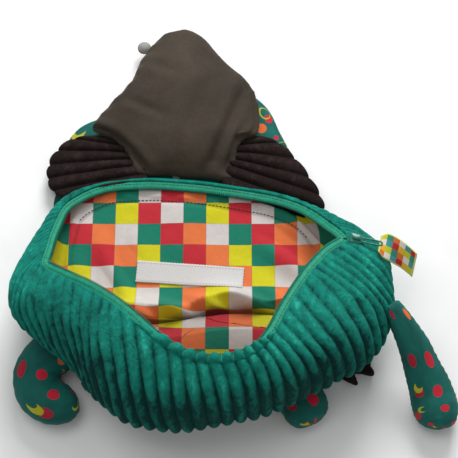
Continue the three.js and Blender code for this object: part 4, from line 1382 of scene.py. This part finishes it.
class BACKPACK_OT_zip(bpy.types.Operator):
    """Zip tapes with their coil and the topstitching beside them"""

    bl_idname = "backpack.zip"
    bl_label = "Zip"

    def execute(self, context):
        settings = context.scene.backpack_zip
        total = len(STATIONS)
        slider, corner = ZIP_END_GAP / RIM.length, ZIP_CORNER_GAP / RIM.length
        for name, start, end, first, last in (
            ("zip_tape_front", SLIDER_END, LEFT_END, slider, corner),
            ("zip_tape_back", LEFT_END, total + SLIDER_END, corner, slider),
        ):
            self.tape(settings, name, start / total, end / total, first, last)
        return {"FINISHED"}

    @staticmethod
    def tape(settings, name, start, end, first, last):
        """One side of the zip between two shares round the rim, with a gap at each end."""
        shares = np.linspace(start + first, end - last, 300)
        middle = RIM.at(shares) - np.array([0, 0, PLUSH_WALL / 2])
        inward = RIM.inward(shares)
        width = settings.tape_width / MM
        # across the tape: inward distance and height over its middle
        section = [
            (0.7, 0.5), (1.6, 0.62), (3.2, 0.7), (width - 2.6, 0.55), (width - 1.2, 0.5),
            (width - 1.2, -0.2), (width - 2.6, -0.3), (3.2, -0.3), (1.6, -0.4), (0.7, -0.5),
        ]
        rings = []
        ripple = 0.25 * unrest(middle, 24, seed=31)
        for across, up in section:
            spot = middle + inward * across
            spot[:, 2] += up + ripple * min(1, across / 3)
            rings.append(spot)
        body, faces = capped(np.array(rings).transpose(1, 0, 2))
        piece = make_mesh(f"{name}_cloth", body, faces)
        face_out(piece)
        material = shared("woven_tape", tape_material, tuple(settings.tape_colour))
        dress(piece, material, "zip_tape", name)
        coil_path = middle + inward * (width - 0.9)
        coil_path[:, 2] += 0.15 + ripple
        coil = shared("zip_coil", plain_material, (0.004, 0.20, 0.13), 0.45, 600.0)
        tooth, lean = (0.9 * MM, 2.3 * MM), 0.5
        row = row_along_path(f"{name}_coil", coil_path, settings.coil_pitch, tooth, lean, coil)
        dress(row, coil, "zip_tape")
        thread = shared("tape_thread", plain_material, (0.003, 0.12, 0.08), 0.7)
        stitch_path = middle + inward * 2.6
        stitch_path[:, 2] += 0.72 + ripple
        pitch, stitch = 2.6 * MM, (1.9 * MM, 0.6 * MM)
        row = row_along_path(f"{name}_stitches", stitch_path, pitch, stitch, 0.0, thread)
        dress(row, thread, "zip_tape")


def zip_line():
    """The zip's open end on the rim and the level heading out of it."""
    end = RIM.at([0.0])[0]
    heading = BELLY.at([0.0])[0] - end
    heading[2] = 0
    return end, heading / np.linalg.norm(heading)


class BACKPACK_OT_pull(bpy.types.Operator):
    """Slider, puller and the folded cloth tab"""

    bl_idname = "backpack.pull"
    bl_label = "Slider and tab"

    def execute(self, context):
        end, heading = zip_line()
        across = np.array([-heading[1], heading[0], 0.0])
        metal = plain_material("painted_metal", (0.006, 0.17, 0.115), 0.34, 500.0, 0.00005)
        metal.node_tree.nodes["Principled BSDF"].inputs["Coat Weight"].default_value = 0.3
        seat = (end, heading, across)
        slider = self.slider(seat)
        dress(slider, metal, "zip_metal", "zip_slider")
        puller = self.puller(seat)
        dress(puller, metal, "zip_metal", "zip_puller")
        self.tab(seat)
        return {"FINISHED"}

    @staticmethod
    def placed(seat, points):
        """Points given along the zip, across it and up, seated at the zip's end."""
        end, heading, across = seat
        points = np.asarray(points, float)
        up = np.array([0, 0, 1])
        return end + points[..., :1] * heading + points[..., 1:2] * across + points[..., 2:] * up

    def plate(self, seat, outline, low, high, rim=0.4):
        """A flat plate with softened edges from an outline along the zip's line."""
        outline = np.asarray(outline, float)
        centre = outline.mean(axis=0)
        rings = []
        for share, height in ((0.9, low), (1, low + rim), (1, high - rim), (0.9, high)):
            ring = centre + (outline - centre) * share
            rings.append(np.column_stack([ring, np.full(len(ring), height)]))
        return capped(self.placed(seat, np.array(rings)))

    def slider(self, seat):
        """Two plates, the neck between them and the loop that holds the puller."""
        turns = full_turn(28)
        long, wide = SLIDER_LENGTH / 2, SLIDER_WIDTH / 2
        shape = np.column_stack([
            long + power(np.cos(turns), 0.6) * long,
            power(np.sin(turns), 0.6) * wide * (1 - 0.16 * np.cos(turns)),
        ])
        upper = shape * [0.96, 0.9] + [0.2, 0]
        parts = [self.plate(seat, shape, GAP, 1.7), self.plate(seat, upper, 2.4, 3.8)]
        neck = np.column_stack([7.4 + 1.4 * np.cos(turns), 1.5 * np.sin(turns)])
        parts.append(self.plate(seat, neck, 1.2, 2.8))
        rings = []
        for share in np.linspace(0, 1, 13):
            along, up = 2.0 + 6.2 * share, 3.5 + 1.7 * math.sin(math.pi * share) ** 0.6
            rings.append([(along, 1.1 * math.cos(a), up + 0.42 * math.sin(a)) for a in full_turn(10)])
        parts.append(capped(self.placed(seat, np.array(rings))))
        return self.merged("slider_body", parts)

    def puller(self, seat):
        """A rounded oblong ring: four rings of points, of which the last joins the first."""
        start = SLIDER_LENGTH + GAP - 2.4
        length, half = (PULLER_LENGTH + 2.0) / 2, 2.0
        top, bottom = GAP + SLIDER_HEIGHT / 2 + 1.2, GAP + SLIDER_HEIGHT / 2 + 0.1
        sides = 36
        turns = full_turn(sides)
        along, across = power(np.cos(turns), 0.5), power(np.sin(turns), 0.5)
        outer = (start + length + along * length, across * half)
        inner = (start + length + along * (length - 1.1), across * (half - 1.0))
        rings = [
            np.column_stack([x, y, np.full(sides, height)])
            for (x, y), height in ((inner, bottom), (outer, bottom), (outer, top), (inner, top))
        ]
        body = self.placed(seat, np.array(rings)).reshape(-1, 3)
        faces = [[v % len(body) for v in face] for face in grid_faces(5, sides)]
        piece = make_mesh("puller_bar", body, faces, smooth=False)
        face_out(piece)
        modifier = piece.modifiers.new("Rounding", "BEVEL")
        modifier.width = 0.25 * MM
        modifier.segments = 2
        return settled(piece)

    @staticmethod
    def merged(name, parts):
        """One piece out of several closed bodies."""
        points, faces = [], []
        for body, sides in parts:
            start = sum(len(p) for p in points)
            points.append(body)
            faces += [[v + start for v in side] for side in sides]
        piece = make_mesh(name, np.vstack(points), faces)
        face_out(piece)
        return piece

    def tab(self, seat):
        """The cloth tab: drooping to its end, bent aside and rolled up along one edge."""
        start = SLIDER_LENGTH + PULLER_LENGTH + 2 * GAP - 3.0
        long, wide = 28, 18
        along = np.linspace(0, 1, long)
        across = np.linspace(-0.5, 0.5, wide)
        u, v = np.meshgrid(along, across, indexing="ij")
        curl = 1.1 * np.sin(u * 3 + v * 2.2) * u
        height = GAP + SLIDER_HEIGHT / 2 + 0.9 - TAB_DROOP * u**2 + curl
        pinch = 1 - 0.35 * np.clip(1 - u * 6, 0, 1)
        roll = math.radians(38) * np.clip(u * 1.6, 0, 1)
        bend = -7.5 * u**1.5
        height = height + np.sin(roll) * v * TAB_WIDTH
        aside = bend + v * TAB_WIDTH * pinch * np.cos(roll)
        top = np.stack([start + u * TAB_LENGTH, aside, height], axis=-1)
        from_edge = np.minimum(0.5 - np.abs(v), np.minimum(u, 1 - u))
        thick = TAB_THICKNESS * (0.55 + 0.45 * np.clip(from_edge * 8, 0, 1))
        low = top.copy()
        low[..., 2] -= thick
        body = np.concatenate([top.reshape(-1, 3), low.reshape(-1, 3)])
        faces = grid_faces(long, wide, closed=False)
        faces += [face[::-1] for face in grid_faces(long, wide, closed=False, start=long * wide)]
        # the points of the upper face once round its edge
        edge = list(range(wide)) + [r * wide + wide - 1 for r in range(1, long)]
        edge += [(long - 1) * wide + k for k in range(wide - 2, -1, -1)]
        edge += [r * wide for r in range(long - 2, 0, -1)]
        for a, b in zip(edge, edge[1:] + edge[:1]):
            faces.append((a, a + long * wide, b + long * wide, b))
        piece = make_mesh("pull_tab_cloth", self.placed(seat, body), faces)
        uv = np.column_stack([u.ravel(), v.ravel() + 0.5])
        corner_map(piece, np.vstack([uv, uv]))
        face_out(piece, merge=False)
        dress(piece, tab_material(), "pull_tab", "pull_tab")


class BACKPACK_OT_label(bpy.types.Operator):
    """Blank name label with pinked edges, sewn on the lining"""

    bl_idname = "backpack.label"
    bl_label = "Name label"

    def execute(self, context):
        settings = context.scene.backpack_lining
        length, height, turn = LABEL_LENGTH, LABEL_HEIGHT, LABEL_TURN
        right, back = LABEL_X, LABEL_Y
        teeth = 37
        long, high = teeth * 4 + 1, 15
        x = np.linspace(-0.5, 0.5, long)
        y = np.linspace(-0.5, 0.5, high)
        u, v = np.meshgrid(x, y, indexing="ij")
        zigzag = np.abs((np.arange(long) / 4) % 1 - 0.5) * 2
        rise = 0.5 * (zigzag[:, None] - 0.5) * np.clip((np.abs(v) - 0.4) * 10, 0, 1) * np.sign(v)
        px = u * length
        py = v * (height - 0.7) + rise
        cut = 0.35 * np.cos(v * 46) * np.clip((np.abs(u) - 0.49) * 100, 0, 1) * np.sign(u)
        px = px + cut
        lying = np.stack([
            right + px * math.cos(turn) - py * math.sin(turn),
            back + px * math.sin(turn) + py * math.cos(turn),
            np.full(px.shape, LINING_FLOOR),
        ], axis=-1)
        lying[..., 2] = slack(lying)[..., 2] + 0.9
        piece = make_mesh("blank_label", lying.reshape(-1, 3), grid_faces(long, high, closed=False))
        corner_map(piece, np.column_stack([px.ravel(), py.ravel()]) * MM)
        if piece.data.polygons[0].normal.z < 0:
            piece.data.flip_normals()
        material = self.coated(tuple(settings.label_colour))
        dress(piece, material, "label", "name_label")
        modifier = piece.modifiers.new("Cloth thickness", "SOLIDIFY")
        modifier.thickness = LABEL_CLOTH * MM
        return {"FINISHED"}

    @staticmethod
    def coated(colour):
        """White coated cloth with a fine weave and a row of needle marks by its long edges."""
        m = Nodes("label_cloth", colour, 0.7)
        cloth = m.place("UV")
        y = m.parts(cloth)["Y"]
        fine = m.noise(cloth, 900.0, 2.0, 0.6)
        grey = toned(colour, 0.88)
        plain = m.ramp(fine, [(0.3, grey), (0.65, colour)])
        from_row = m.from_middle(m.math("ABSOLUTE", y), 0.0064)
        beside = m.math("LESS_THAN", from_row, 0.0003)
        dash = m.math("GREATER_THAN", m.wave(cloth, 145.0, 0.0, "X"), 0.35)
        marks = m.math("MULTIPLY", beside, dash)
        m.colour(m.mix(m.math("MULTIPLY", marks, 0.5), plain, (0.30, 0.29, 0.28)))
        under = m.relief(m.math("SUBTRACT", 1.0, marks), 0.0003, 0.7)
        m.relief(m.weave(cloth, 420.0, 0.3), 0.00008, 0.5, under)
        return m.material


class BACKPACK_OT_head(bpy.types.Operator):
    """Stuffed velour head flap with its edge seam, and the two nostrils"""

    bl_idname = "backpack.head"
    bl_label = "Head flap"

    # Soft creases: start and end from the middle of the neck, depth, width
    creases = (
        ((34, 82), (2, 2), 2.6, 4.0),
        ((6, 76), (-14, 20), 1.0, 6.0),
        ((28, 40), (14, 2), 1.8, 3.4),
        ((-58, 58), (-30, 44), 1.5, 3.6),
        ((-44, 88), (-20, 78), 1.0, 4.0),
    )

    def execute(self, context):
        settings = context.scene.backpack_head
        rows, sides = 46, 56
        shares = np.linspace(0, 1, rows)
        along, left, right, lift, thick = catmull(FLAP_ROWS, shares, False).T
        turns = full_turn(sides)
        side, rise = power(np.cos(turns), 0.8), power(np.sin(turns), 0.8)
        rings = []
        for k in range(rows):
            y = NECK_Y + GAP + along[k] * FLAP_LENGTH
            low = lift[k] * (STRAP_THICKNESS + GAP) + 0.6
            a, b = FLAP_SHIFT + left[k] * FLAP_WIDTH, FLAP_SHIFT + right[k] * FLAP_WIDTH
            depth = thick[k] * FLAP_THICKNESS - 1.6
            rings.append(np.column_stack([
                (a + b) / 2 + side * (b - a) / 2, np.full(sides, y), low + depth * (0.5 + rise / 2),
            ]))
        body, faces = capped(rings)
        piece = make_mesh("velour_head", body, faces)
        face_out(piece)
        cut_to_bag(piece)
        stuffed(piece, voxel=3.0, pressure=2.5, most=2.5)
        self.finish_shape(piece)
        dress(piece, velour_material(tuple(settings.velour_colour)), "velour", "head_flap")
        self.nostrils()
        return {"FINISHED"}

    @staticmethod
    def outline():
        """Left and right edge of the flap over its length, for the seam and creases."""
        shares = np.linspace(0, 1, 160)
        along, left, right, _, _ = catmull(FLAP_ROWS, shares, False).T
        y = NECK_Y + GAP + along * FLAP_LENGTH
        return y, FLAP_SHIFT + left * FLAP_WIDTH, FLAP_SHIFT + right * FLAP_WIDTH

    def finish_shape(self, piece):
        """Presses in the crease, the fold band and the seam round the edge."""
        points, normals = spots(piece), normals_of(piece)
        x, y, _ = points.T
        up = np.clip(normals[:, 2] * 1.5, 0, 1)
        y0, left, right = self.outline()
        from_left = x - np.interp(y, y0, left)
        from_right = np.interp(y, y0, right) - x
        share = (y - NECK_Y) / FLAP_LENGTH
        # the band folded along the left corner towards the neck
        fold = Line([(-83, NECK_Y + 37), (-66, NECK_Y + 26), (-47, NECK_Y + 8), (-38, NECK_Y - 4)])
        run = fold.at(np.linspace(0, 1, 120))[:, :2]
        away = points[:, None, :2] - run
        near = np.sqrt((away**2).sum(-1))
        index = near.argmin(1)
        heading = np.gradient(run, axis=0)[index]
        offset = away[np.arange(len(points)), index]
        over = np.sign(heading[:, 0] * offset[:, 1] - heading[:, 1] * offset[:, 0]) * near.min(1)
        band = 3.2 * bump(over, -6.0, 4.6) - 4.2 * bump(over, 1.2, 2.0) + 1.2 * bump(over, 6.5, 4)
        # soft creases from the right edge down to the neck and over the middle
        soft = np.zeros(len(points))
        for start, end, deep, wide in self.creases:
            start, end = np.array(start) + [0, NECK_Y], np.array(end) + [0, NECK_Y]
            course = end - start
            long = np.linalg.norm(course)
            offset = points[:, :2] - start
            along = offset @ course / long
            beside = (offset[:, 0] * course[1] - offset[:, 1] * course[0]) / long
            ends = np.clip((along + 4) / 12, 0, 1) * np.clip((long - along + 6) / 16, 0, 1)
            soft -= ends * (deep * bump(beside, 0, wide) - 0.5 * deep * bump(beside, wide * 1.8, wide))
        # gathers beside the seam of the left edge and the piping on the right one
        gathers = 0.7 * np.sin(y / 1.75) * bump(from_left, 4.5, 3.2) * np.clip((share - 0.28) * 8, 0, 1)
        piping = 1.7 * bump(from_right, 1.8, 1.3) - 1.6 * bump(from_right, 5.0, 1.3)
        piping *= np.clip((share - 0.2) * 10, 0, 1) * np.clip((0.68 - share) * 8, 0, 1)
        slow = unrest(points, 55, seed=41) * 1.3 + unrest(points, 22, seed=42) * 0.6
        quiet = np.clip(np.minimum(from_left, from_right) / 6, 0, 1)
        up = up * np.clip((share - 0.01) * 14, 0, 1)
        move = up * (band * np.clip(from_left / 5, 0, 1) + (soft + slow) * quiet + gathers + piping)
        points = points + normals * move[:, None]
        points[:, 2] = np.maximum(points[:, 2], 0.3)
        set_spots(piece, points)

    @staticmethod
    def nostrils():
        """Ringed domes in the drawing's own boxes, with a row of stitches round each."""
        dark = plain_material("nostril_ring", (0.012, 0.010, 0.010), 0.5)
        light = plain_material("nostril_felt", (0.34, 0.33, 0.31), 0.85)
        places = (("left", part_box("nostril_left")), ("right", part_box("nostril_right")))
        sides, pole = 20, math.pi / 2 - 0.25
        turns = full_turn(sides)
        for side, (low, high) in places:
            middle = (np.array(low) + np.array(high)) / 2
            reach = (np.array(high) - np.array(low)) / 2
            rings = []
            for rise in np.linspace(-pole, pole, 12):
                wide = math.cos(rise) * (1.0 + 0.07 * math.cos(rise * 5))
                rings.append(np.column_stack([
                    middle[0] + reach[0] * np.cos(turns) * wide,
                    middle[1] + reach[1] * np.sin(turns) * wide,
                    np.full(sides, middle[2] + reach[2] * math.sin(rise) / math.sin(pole)),
                ]))
            body, faces = capped((np.array(rings) - ORIGIN) / MM)
            piece = make_mesh(f"nostril_{side}_dome", body, faces)
            face_out(piece)
            dress(piece, light, "nostril", f"nostril_{side}")
            closed = np.linspace(0, 2 * math.pi, 33)
            path = np.column_stack([
                middle[0] + reach[0] * 1.02 * np.cos(closed),
                middle[1] + reach[1] * 1.02 * np.sin(closed),
                np.full(len(closed), middle[2]),
            ])
            path = (path - ORIGIN) / MM
            pitch, stitch = 1.1 * MM, (1.2 * MM, 1.1 * MM)
            row = row_along_path(f"nostril_{side}_stitches", path, pitch, stitch, 0.0, dark)
            dress(row, dark, "nostril")


def fan_mesh(name, rows, origin, reach, thickness, crest, bottom, ribs):
    """A ribbed fan of cloth from its root to its outer edge."""
    columns_per_rib, rounded = 10, 6
    columns = ribs * columns_per_rib + 1
    share = np.linspace(0, 1, columns)
    root = catmull(origin + rows[:, 0:2] * reach, share, False)
    edge = catmull(origin + rows[:, 2:4] * reach, share, False)
    turned_over = 0.9 + 0.1 * np.sin(np.linspace(0, math.pi / 2, 9))
    steps = np.concatenate([np.linspace(0, 0.9, 19)[:-1], turned_over])
    full = np.interp(steps, FAN_SWELL[:, 0], FAN_SWELL[:, 1])
    closing = np.sqrt(np.clip(1 - np.linspace(0.2, 1, rounded) ** 2, 0.02, 1))
    full[-rounded:] = full[-rounded - 1] * closing
    side = np.minimum(1, 0.35 + np.minimum(share, 1 - share) / 0.33)
    rib = rib_profile(share * ribs)
    rings, painted_shading = [], []
    for k in range(columns):
        scallop = 1 + 0.035 * (rib[k] - 0.6)
        spot = root[k] + (edge[k] - root[k]) * (steps * scallop)[:, None]
        half = full * (side[k] * thickness / 2 + crest * (rib[k] - RIB_BASE))
        top = np.column_stack([spot, bottom + thickness / 2 + half])
        low = np.column_stack([spot, bottom + thickness / 2 - full * side[k] * thickness / 2])
        ring = np.vstack([top, low[::-1]])
        rings.append(ring)
        # painted shading: painted shade in the grooves, painted highlight on the crests
        painted_shading.append(np.full(len(ring), 0.1 + 0.7 * rib[k]))
    body, faces = capped(rings)
    body[:, 2] = np.maximum(body[:, 2] + 0.45 * unrest(body, 22, seed=51), bottom)
    piece = make_mesh(name, body, faces)
    point_attribute(piece, "painted_shading", np.concatenate([*painted_shading, [POLE_SHADING] * 2]))
    face_out(piece)
    return piece


class BACKPACK_OT_ears(bpy.types.Operator):
    """Two ribbed ears at the neck and the small tail"""

    bl_idname = "backpack.ears"
    bl_label = "Ears and tail"

    def execute(self, context):
        settings = context.scene.backpack_head
        colour = tuple(settings.ear_colour)
        # dark is the painted shade in the ribs' grooves, light the painted highlight on their crests
        dark, light = toned(colour, 0.4), toned(colour, 1.5, 0.004)
        material = plush_material("brown_plush", colour, dark, light)
        corners = FLAP_SHIFT + FLAP_ROWS[0, 1:3] * FLAP_WIDTH
        for side, rows, corner, tuck in (
            ("left", LEFT_EAR, corners[0], EAR_TUCK), ("right", RIGHT_EAR, corners[1], -EAR_TUCK),
        ):
            rows = rows.copy()
            rows[:, 0] += tuck
            piece = fan_mesh(
                f"ear_{side}_plush", rows, origin=np.array([corner, NECK_Y]), reach=EAR_REACH,
                thickness=EAR_THICKNESS, crest=EAR_RIB_HEIGHT, bottom=STRAP_THICKNESS + GAP,
                ribs=settings.ear_ribs)
            dress(piece, material, "ear_cloth", f"ear_{side}")
        piece = fan_mesh(
            "tail_plush", TAIL_ROWS, origin=wall_spot(TAIL_AT / len(STATIONS), LAST_ROW)[:2],
            reach=TAIL_REACH, thickness=TAIL_THICKNESS + TAIL_FILL, crest=TAIL_RIB_HEIGHT, bottom=0.0,
            ribs=TAIL_RIBS)
        dress(piece, material, "ear_cloth", "tail_tuft")
        return {"FINISHED"}


def limb_map(piece, line):
    """Lays the print along a limb: metres along it and round it."""
    points = spots(piece)
    shares = np.linspace(0, 1, 160)
    run = line.at(shares)
    tangent = line.tangent(shares)
    side = np.cross(tangent, [0, 0, 1])
    side /= np.linalg.norm(side, axis=1, keepdims=True)
    over = np.cross(side, tangent)
    nearest = np.argmin(((points[:, None] - run[None]) ** 2).sum(-1), axis=1)
    offset = points - run[nearest]
    along = shares[nearest] * line.length + (offset * tangent[nearest]).sum(1)
    turn = np.arctan2((offset * over[nearest]).sum(1), (offset * side[nearest]).sum(1))
    mesh = piece.data
    corners = point_of_corner(mesh)
    turned = turn[corners]
    radius = (LIMB_WIDTH + LIMB_THICKNESS) / 4
    for face in mesh.polygons:
        wide = slice(face.loop_start, face.loop_start + face.loop_total)
        if turned[wide].max() - turned[wide].min() > math.pi:
            turned[wide] = np.where(turned[wide] < 0, turned[wide] + 2 * math.pi, turned[wide])
    layer = mesh.uv_layers.new(name="cloth")
    uv = np.column_stack([along[corners], turned * radius]) * MM
    layer.data.foreach_set("uv", (uv + 0.2).astype(np.float32).ravel())
    return along, turn


class BACKPACK_OT_limbs(bpy.types.Operator):
    """Stuffed arms and legs of printed cotton"""

    bl_idname = "backpack.limbs"
    bl_label = "Arms and legs"

    def execute(self, context):
        settings = context.scene.backpack_limbs
        cotton = tuple(settings.cotton_colour)
        material = shared("dotted_cotton", printed_material, cotton, settings.motif_size)
        total, rest = len(STATIONS), LIMB_THICKNESS / 2
        arms = (("arm_left", LEFT_ARM, LEFT_ARM_AT), ("arm_right", RIGHT_ARM, RIGHT_ARM_AT))
        for name, route, (place, row) in arms:
            root = wall_spot(place / total, row)
            centres = np.column_stack([
                root[0] + route[:, 0] * ARM_REACH, root[1] + route[:, 1] * ARM_REACH,
                rest + (root[2] - rest) * route[:, 2],
            ])
            self.limb(name, centres, route[:, 3], material)
        legs = (("leg_left", LEFT_LEG_AT, -LEFT_LEG_TURN), ("leg_right", RIGHT_LEG_AT, 0.0))
        for name, place, turn in legs:
            out = -BELLY.inward(np.array([place / total]))[0]
            heading = np.array([
                out[0] * math.cos(turn) - out[1] * math.sin(turn),
                out[0] * math.sin(turn) + out[1] * math.cos(turn), 0.0,
            ])
            root = wall_spot(place / total, LAST_ROW)
            centres = root + LEG_ROWS[:, :1] * LEG_REACH * heading
            centres[:, 2] = rest
            self.limb(name, centres, LEG_ROWS[:, 1], material)
        return {"FINISHED"}

    @staticmethod
    def limb(name, centres, fulls, material):
        """A stuffed limb along its middle line, with the share of its full size at each place."""
        line = Line(centres)
        shares = np.linspace(0, 1, 44)
        run, tangent = line.at(shares), line.tangent(shares)
        places = np.column_stack([np.linspace(0, 1, len(fulls)), fulls])
        full = catmull(places, shares, False)[:, 1]
        ends = np.sqrt(np.clip(1 - np.clip((shares - 0.93) / 0.07, 0, 1) ** 2, 0.05, 1))
        side = np.cross(tangent, [0, 0, 1])
        side /= np.linalg.norm(side, axis=1, keepdims=True)
        over = np.cross(side, tangent)
        turns = full_turn(28)[:, None]
        rings = []
        for k in range(len(shares)):
            wide = full[k] * ends[k] * (LIMB_WIDTH / 2 - 0.4)
            high = full[k] * ends[k] * (LIMB_THICKNESS / 2 - 0.6)
            rings.append(run[k] + np.cos(turns) * wide * side[k] + np.sin(turns) * high * over[k])
        body, faces = capped(rings)
        piece = make_mesh(f"{name}_cotton", body, faces)
        face_out(piece)
        cut_to_bag(piece)
        stuffed(piece, voxel=2.4, pressure=3.0, most=1.2)
        along, turn = limb_map(piece, line)
        points, normals = spots(piece), normals_of(piece)
        flat_side = np.abs(np.sin(turn))
        seam = -0.9 * bump(flat_side, 0, 0.1)
        pucker = 0.22 * np.sin(along * 1.5) * bump(flat_side, 0, 0.3)
        tip = np.clip((along - line.length * 0.72) / (line.length * 0.28), 0, 1)
        wrinkles = -0.5 * tip * bump(np.sin(along * 0.42 + 0.6 * np.sin(turn * 2)), 1, 0.35)
        slow = 0.35 * unrest(points, 18, seed=61)
        points += normals * (seam + pucker + wrinkles + slow)[:, None]
        points[:, 2] = np.maximum(points[:, 2], 0.05)
        set_spots(piece, points)
        dress(piece, material, "printed_cotton", name)


class BACKPACK_OT_straps(bpy.types.Operator):
    """Printed shoulder straps and the webbing under the back"""

    bl_idname = "backpack.straps"
    bl_label = "Straps"

    def execute(self, context):
        settings = context.scene.backpack_limbs
        colour = tuple(settings.cotton_colour)
        cotton = shared("dotted_cotton", printed_material, colour, settings.motif_size)
        webbing = tape_material("woven_webbing", (0.003, 0.085, 0.065))
        for side, (strap, below) in webbing_lines().items():
            piece = self.strip(f"strap_{side}_cotton", strap, STRAP_WIDTH, STRAP_THICKNESS)
            dress(piece, cotton, "printed_cotton", f"strap_{side}")
            piece = self.strip(f"webbing_{side}_band", below, WEBBING_WIDTH, WEBBING_THICKNESS)
            dress(piece, webbing, "webbing", f"webbing_{side}")
        return {"FINISHED"}

    @staticmethod
    def strip(name, line, width, top, bottom=0.1):
        """A flat band along a line with soft edges, its map in metres of cloth."""
        steps, sides = 90, 36
        shares = line.spaced(np.linspace(0, 1, steps))
        run, tangent = line.at(shares), line.tangent(shares)
        across = np.column_stack([-tangent[:, 1], tangent[:, 0], np.zeros(steps)])
        turns = full_turn(sides)
        side, rise = power(np.cos(turns), 0.45), power(np.sin(turns), 0.7)
        seam = 1 - 0.35 * bump(np.abs(side), 0.84, 0.05)
        middle, half = (bottom + top) / 2, (top - bottom) / 2
        laid_out = side * width / 2 + np.where(rise < 0, STRAP_MAP_ASIDE, 0)
        rings, uv = [], []
        for k in range(steps):
            ring = run[k] + across[k] * (side * width / 2)[:, None]
            ring[:, 2] = middle + rise * half * seam
            rings.append(ring)
            along = k / (steps - 1) * line.length
            uv.append(np.column_stack([np.full(sides, along), laid_out]))
        body, faces = capped(rings)
        piece = make_mesh(name, body, faces)
        both = np.vstack([np.concatenate(uv), uv[0].mean(axis=0), uv[-1].mean(axis=0)]) * MM
        corner_map(piece, both + STRAP_MAP_START)
        face_out(piece, merge=False)
        return piece


class BACKPACK_OT_stage(bpy.types.Operator):
    """Pale floor, soft studio light and the camera"""

    bl_idname = "backpack.stage"
    bl_label = "Stage"

    def execute(self, context):
        settings = context.scene.backpack_stage
        half = 4
        corners = [(-half, -half, 0), (half, -half, 0), (half, half, 0), (-half, half, 0)]
        mesh = bpy.data.meshes.new("floor")
        mesh.from_pydata(corners, [], [(0, 1, 2, 3)])
        floor = bpy.data.objects.new("floor", mesh)
        context.scene.collection.objects.link(floor)
        m = Nodes("paper", (0.9, 0.9, 0.9), 0.9)
        fine = m.noise(m.place(), 30.0, 2.0)
        m.colour(m.ramp(fine, [(0.3, (0.88, 0.88, 0.88)), (0.7, (0.92, 0.92, 0.92))]))
        mesh.materials.append(m.material)
        world = bpy.data.worlds.new("studio")
        world.use_nodes = True
        self.sky(world.node_tree)
        context.scene.world = world
        self.lamp("back_light", (0.2, 1.25, 0.95), 0.7, 24.0)
        self.lamp("top_light", (-0.35, 0.2, 1.5), 0.9, 4.5)
        elevation, distance = settings.camera_elevation, settings.camera_distance
        target = Vector(VIEW_TARGET) * MM + Vector(ORIGIN)
        look = Vector((0, math.cos(elevation), -math.sin(elevation)))
        camera = bpy.data.objects.new("camera", bpy.data.cameras.new("camera"))
        camera.location = target - look * distance
        camera.rotation_euler = look.to_track_quat("-Z", "Y").to_euler()
        camera.data.sensor_width = SENSOR
        camera.data.lens = LENS
        camera.data.clip_start = 0.01
        context.scene.collection.objects.link(camera)
        context.scene.camera = camera
        context.scene.view_settings.view_transform = "Standard"
        return {"FINISHED"}

    @staticmethod
    def sky(tree):
        """White overhead and grey towards the horizon, like a tent over the table."""
        nodes, links = tree.nodes, tree.links
        place = nodes.new("ShaderNodeTexCoord")
        parts = nodes.new("ShaderNodeSeparateXYZ")
        ramp = nodes.new("ShaderNodeValToRGB")
        ramp.color_ramp.elements[0].position = 0.0
        ramp.color_ramp.elements[0].color = (0.16, 0.16, 0.16, 1)
        ramp.color_ramp.elements[1].position = 0.75
        ramp.color_ramp.elements[1].color = (1, 1, 1, 1)
        links.new(place.outputs["Generated"], parts.inputs[0])
        links.new(parts.outputs["Z"], ramp.inputs["Fac"])
        links.new(ramp.outputs["Color"], nodes["Background"].inputs["Color"])
        nodes["Background"].inputs["Strength"].default_value = 0.5

    @staticmethod
    def lamp(name, place, size, watts):
        """A square lamp facing the middle of the table."""
        light = bpy.data.lights.new(name, "AREA")
        light.shape = "SQUARE"
        light.size = size
        light.energy = watts
        lamp = bpy.data.objects.new(name, light)
        lamp.location = place
        lamp.rotation_euler = (-Vector(place)).to_track_quat("-Z", "Y").to_euler()
        bpy.context.scene.collection.objects.link(lamp)


class BACKPACK_PT_panel(bpy.types.Panel):
    """Lists the bag's pieces and sizes in the sidebar"""

    bl_idname = "BACKPACK_PT_panel"
    bl_label = "Animal backpack"
    bl_space_type = "VIEW_3D"
    bl_region_type = "UI"
    bl_category = "Backpack"

    def draw(self, context):
        layout = self.layout
        for group, operators in PANEL_ROWS:
            box = layout.box()
            settings = getattr(context.scene, group)
            for name in settings.__annotations__:
                box.prop(settings, name)
            for operator in operators:
                box.operator(operator.bl_idname)


SETTINGS = {
    "backpack_body": BodySettings,
    "backpack_lining": LiningSettings,
    "backpack_zip": ZipSettings,
    "backpack_head": HeadSettings,
    "backpack_limbs": LimbSettings,
    "backpack_stage": StageSettings,
}

PANEL_ROWS = [
    ("backpack_body", [BACKPACK_OT_shell]),
    ("backpack_lining", [BACKPACK_OT_lining, BACKPACK_OT_label]),
    ("backpack_zip", [BACKPACK_OT_zip, BACKPACK_OT_pull]),
    ("backpack_head", [BACKPACK_OT_head, BACKPACK_OT_ears]),
    ("backpack_limbs", [BACKPACK_OT_limbs, BACKPACK_OT_straps]),
    ("backpack_stage", [BACKPACK_OT_stage]),
]


def register():
    for group in SETTINGS.values():
        bpy.utils.register_class(group)
    for _, operators in PANEL_ROWS:
        for operator in operators:
            bpy.utils.register_class(operator)
    bpy.utils.register_class(BACKPACK_PT_panel)
    for name, group in SETTINGS.items():
        setattr(bpy.types.Scene, name, PointerProperty(type=group))


def unregister():
    for name in SETTINGS:
        delattr(bpy.types.Scene, name)
    bpy.utils.unregister_class(BACKPACK_PT_panel)
    for _, operators in PANEL_ROWS:
        for operator in operators:
            bpy.utils.unregister_class(operator)
    for group in SETTINGS.values():
        bpy.utils.unregister_class(group)


def main():
    register()
    bpy.ops.backpack.stage()
    bpy.ops.backpack.shell()
    bpy.ops.backpack.lining()
    bpy.ops.backpack.label()
    bpy.ops.backpack.zip()
    bpy.ops.backpack.pull()
    bpy.ops.backpack.head()
    bpy.ops.backpack.ears()
    bpy.ops.backpack.limbs()
    bpy.ops.backpack.straps()


if __name__ == "__main__":
    main()
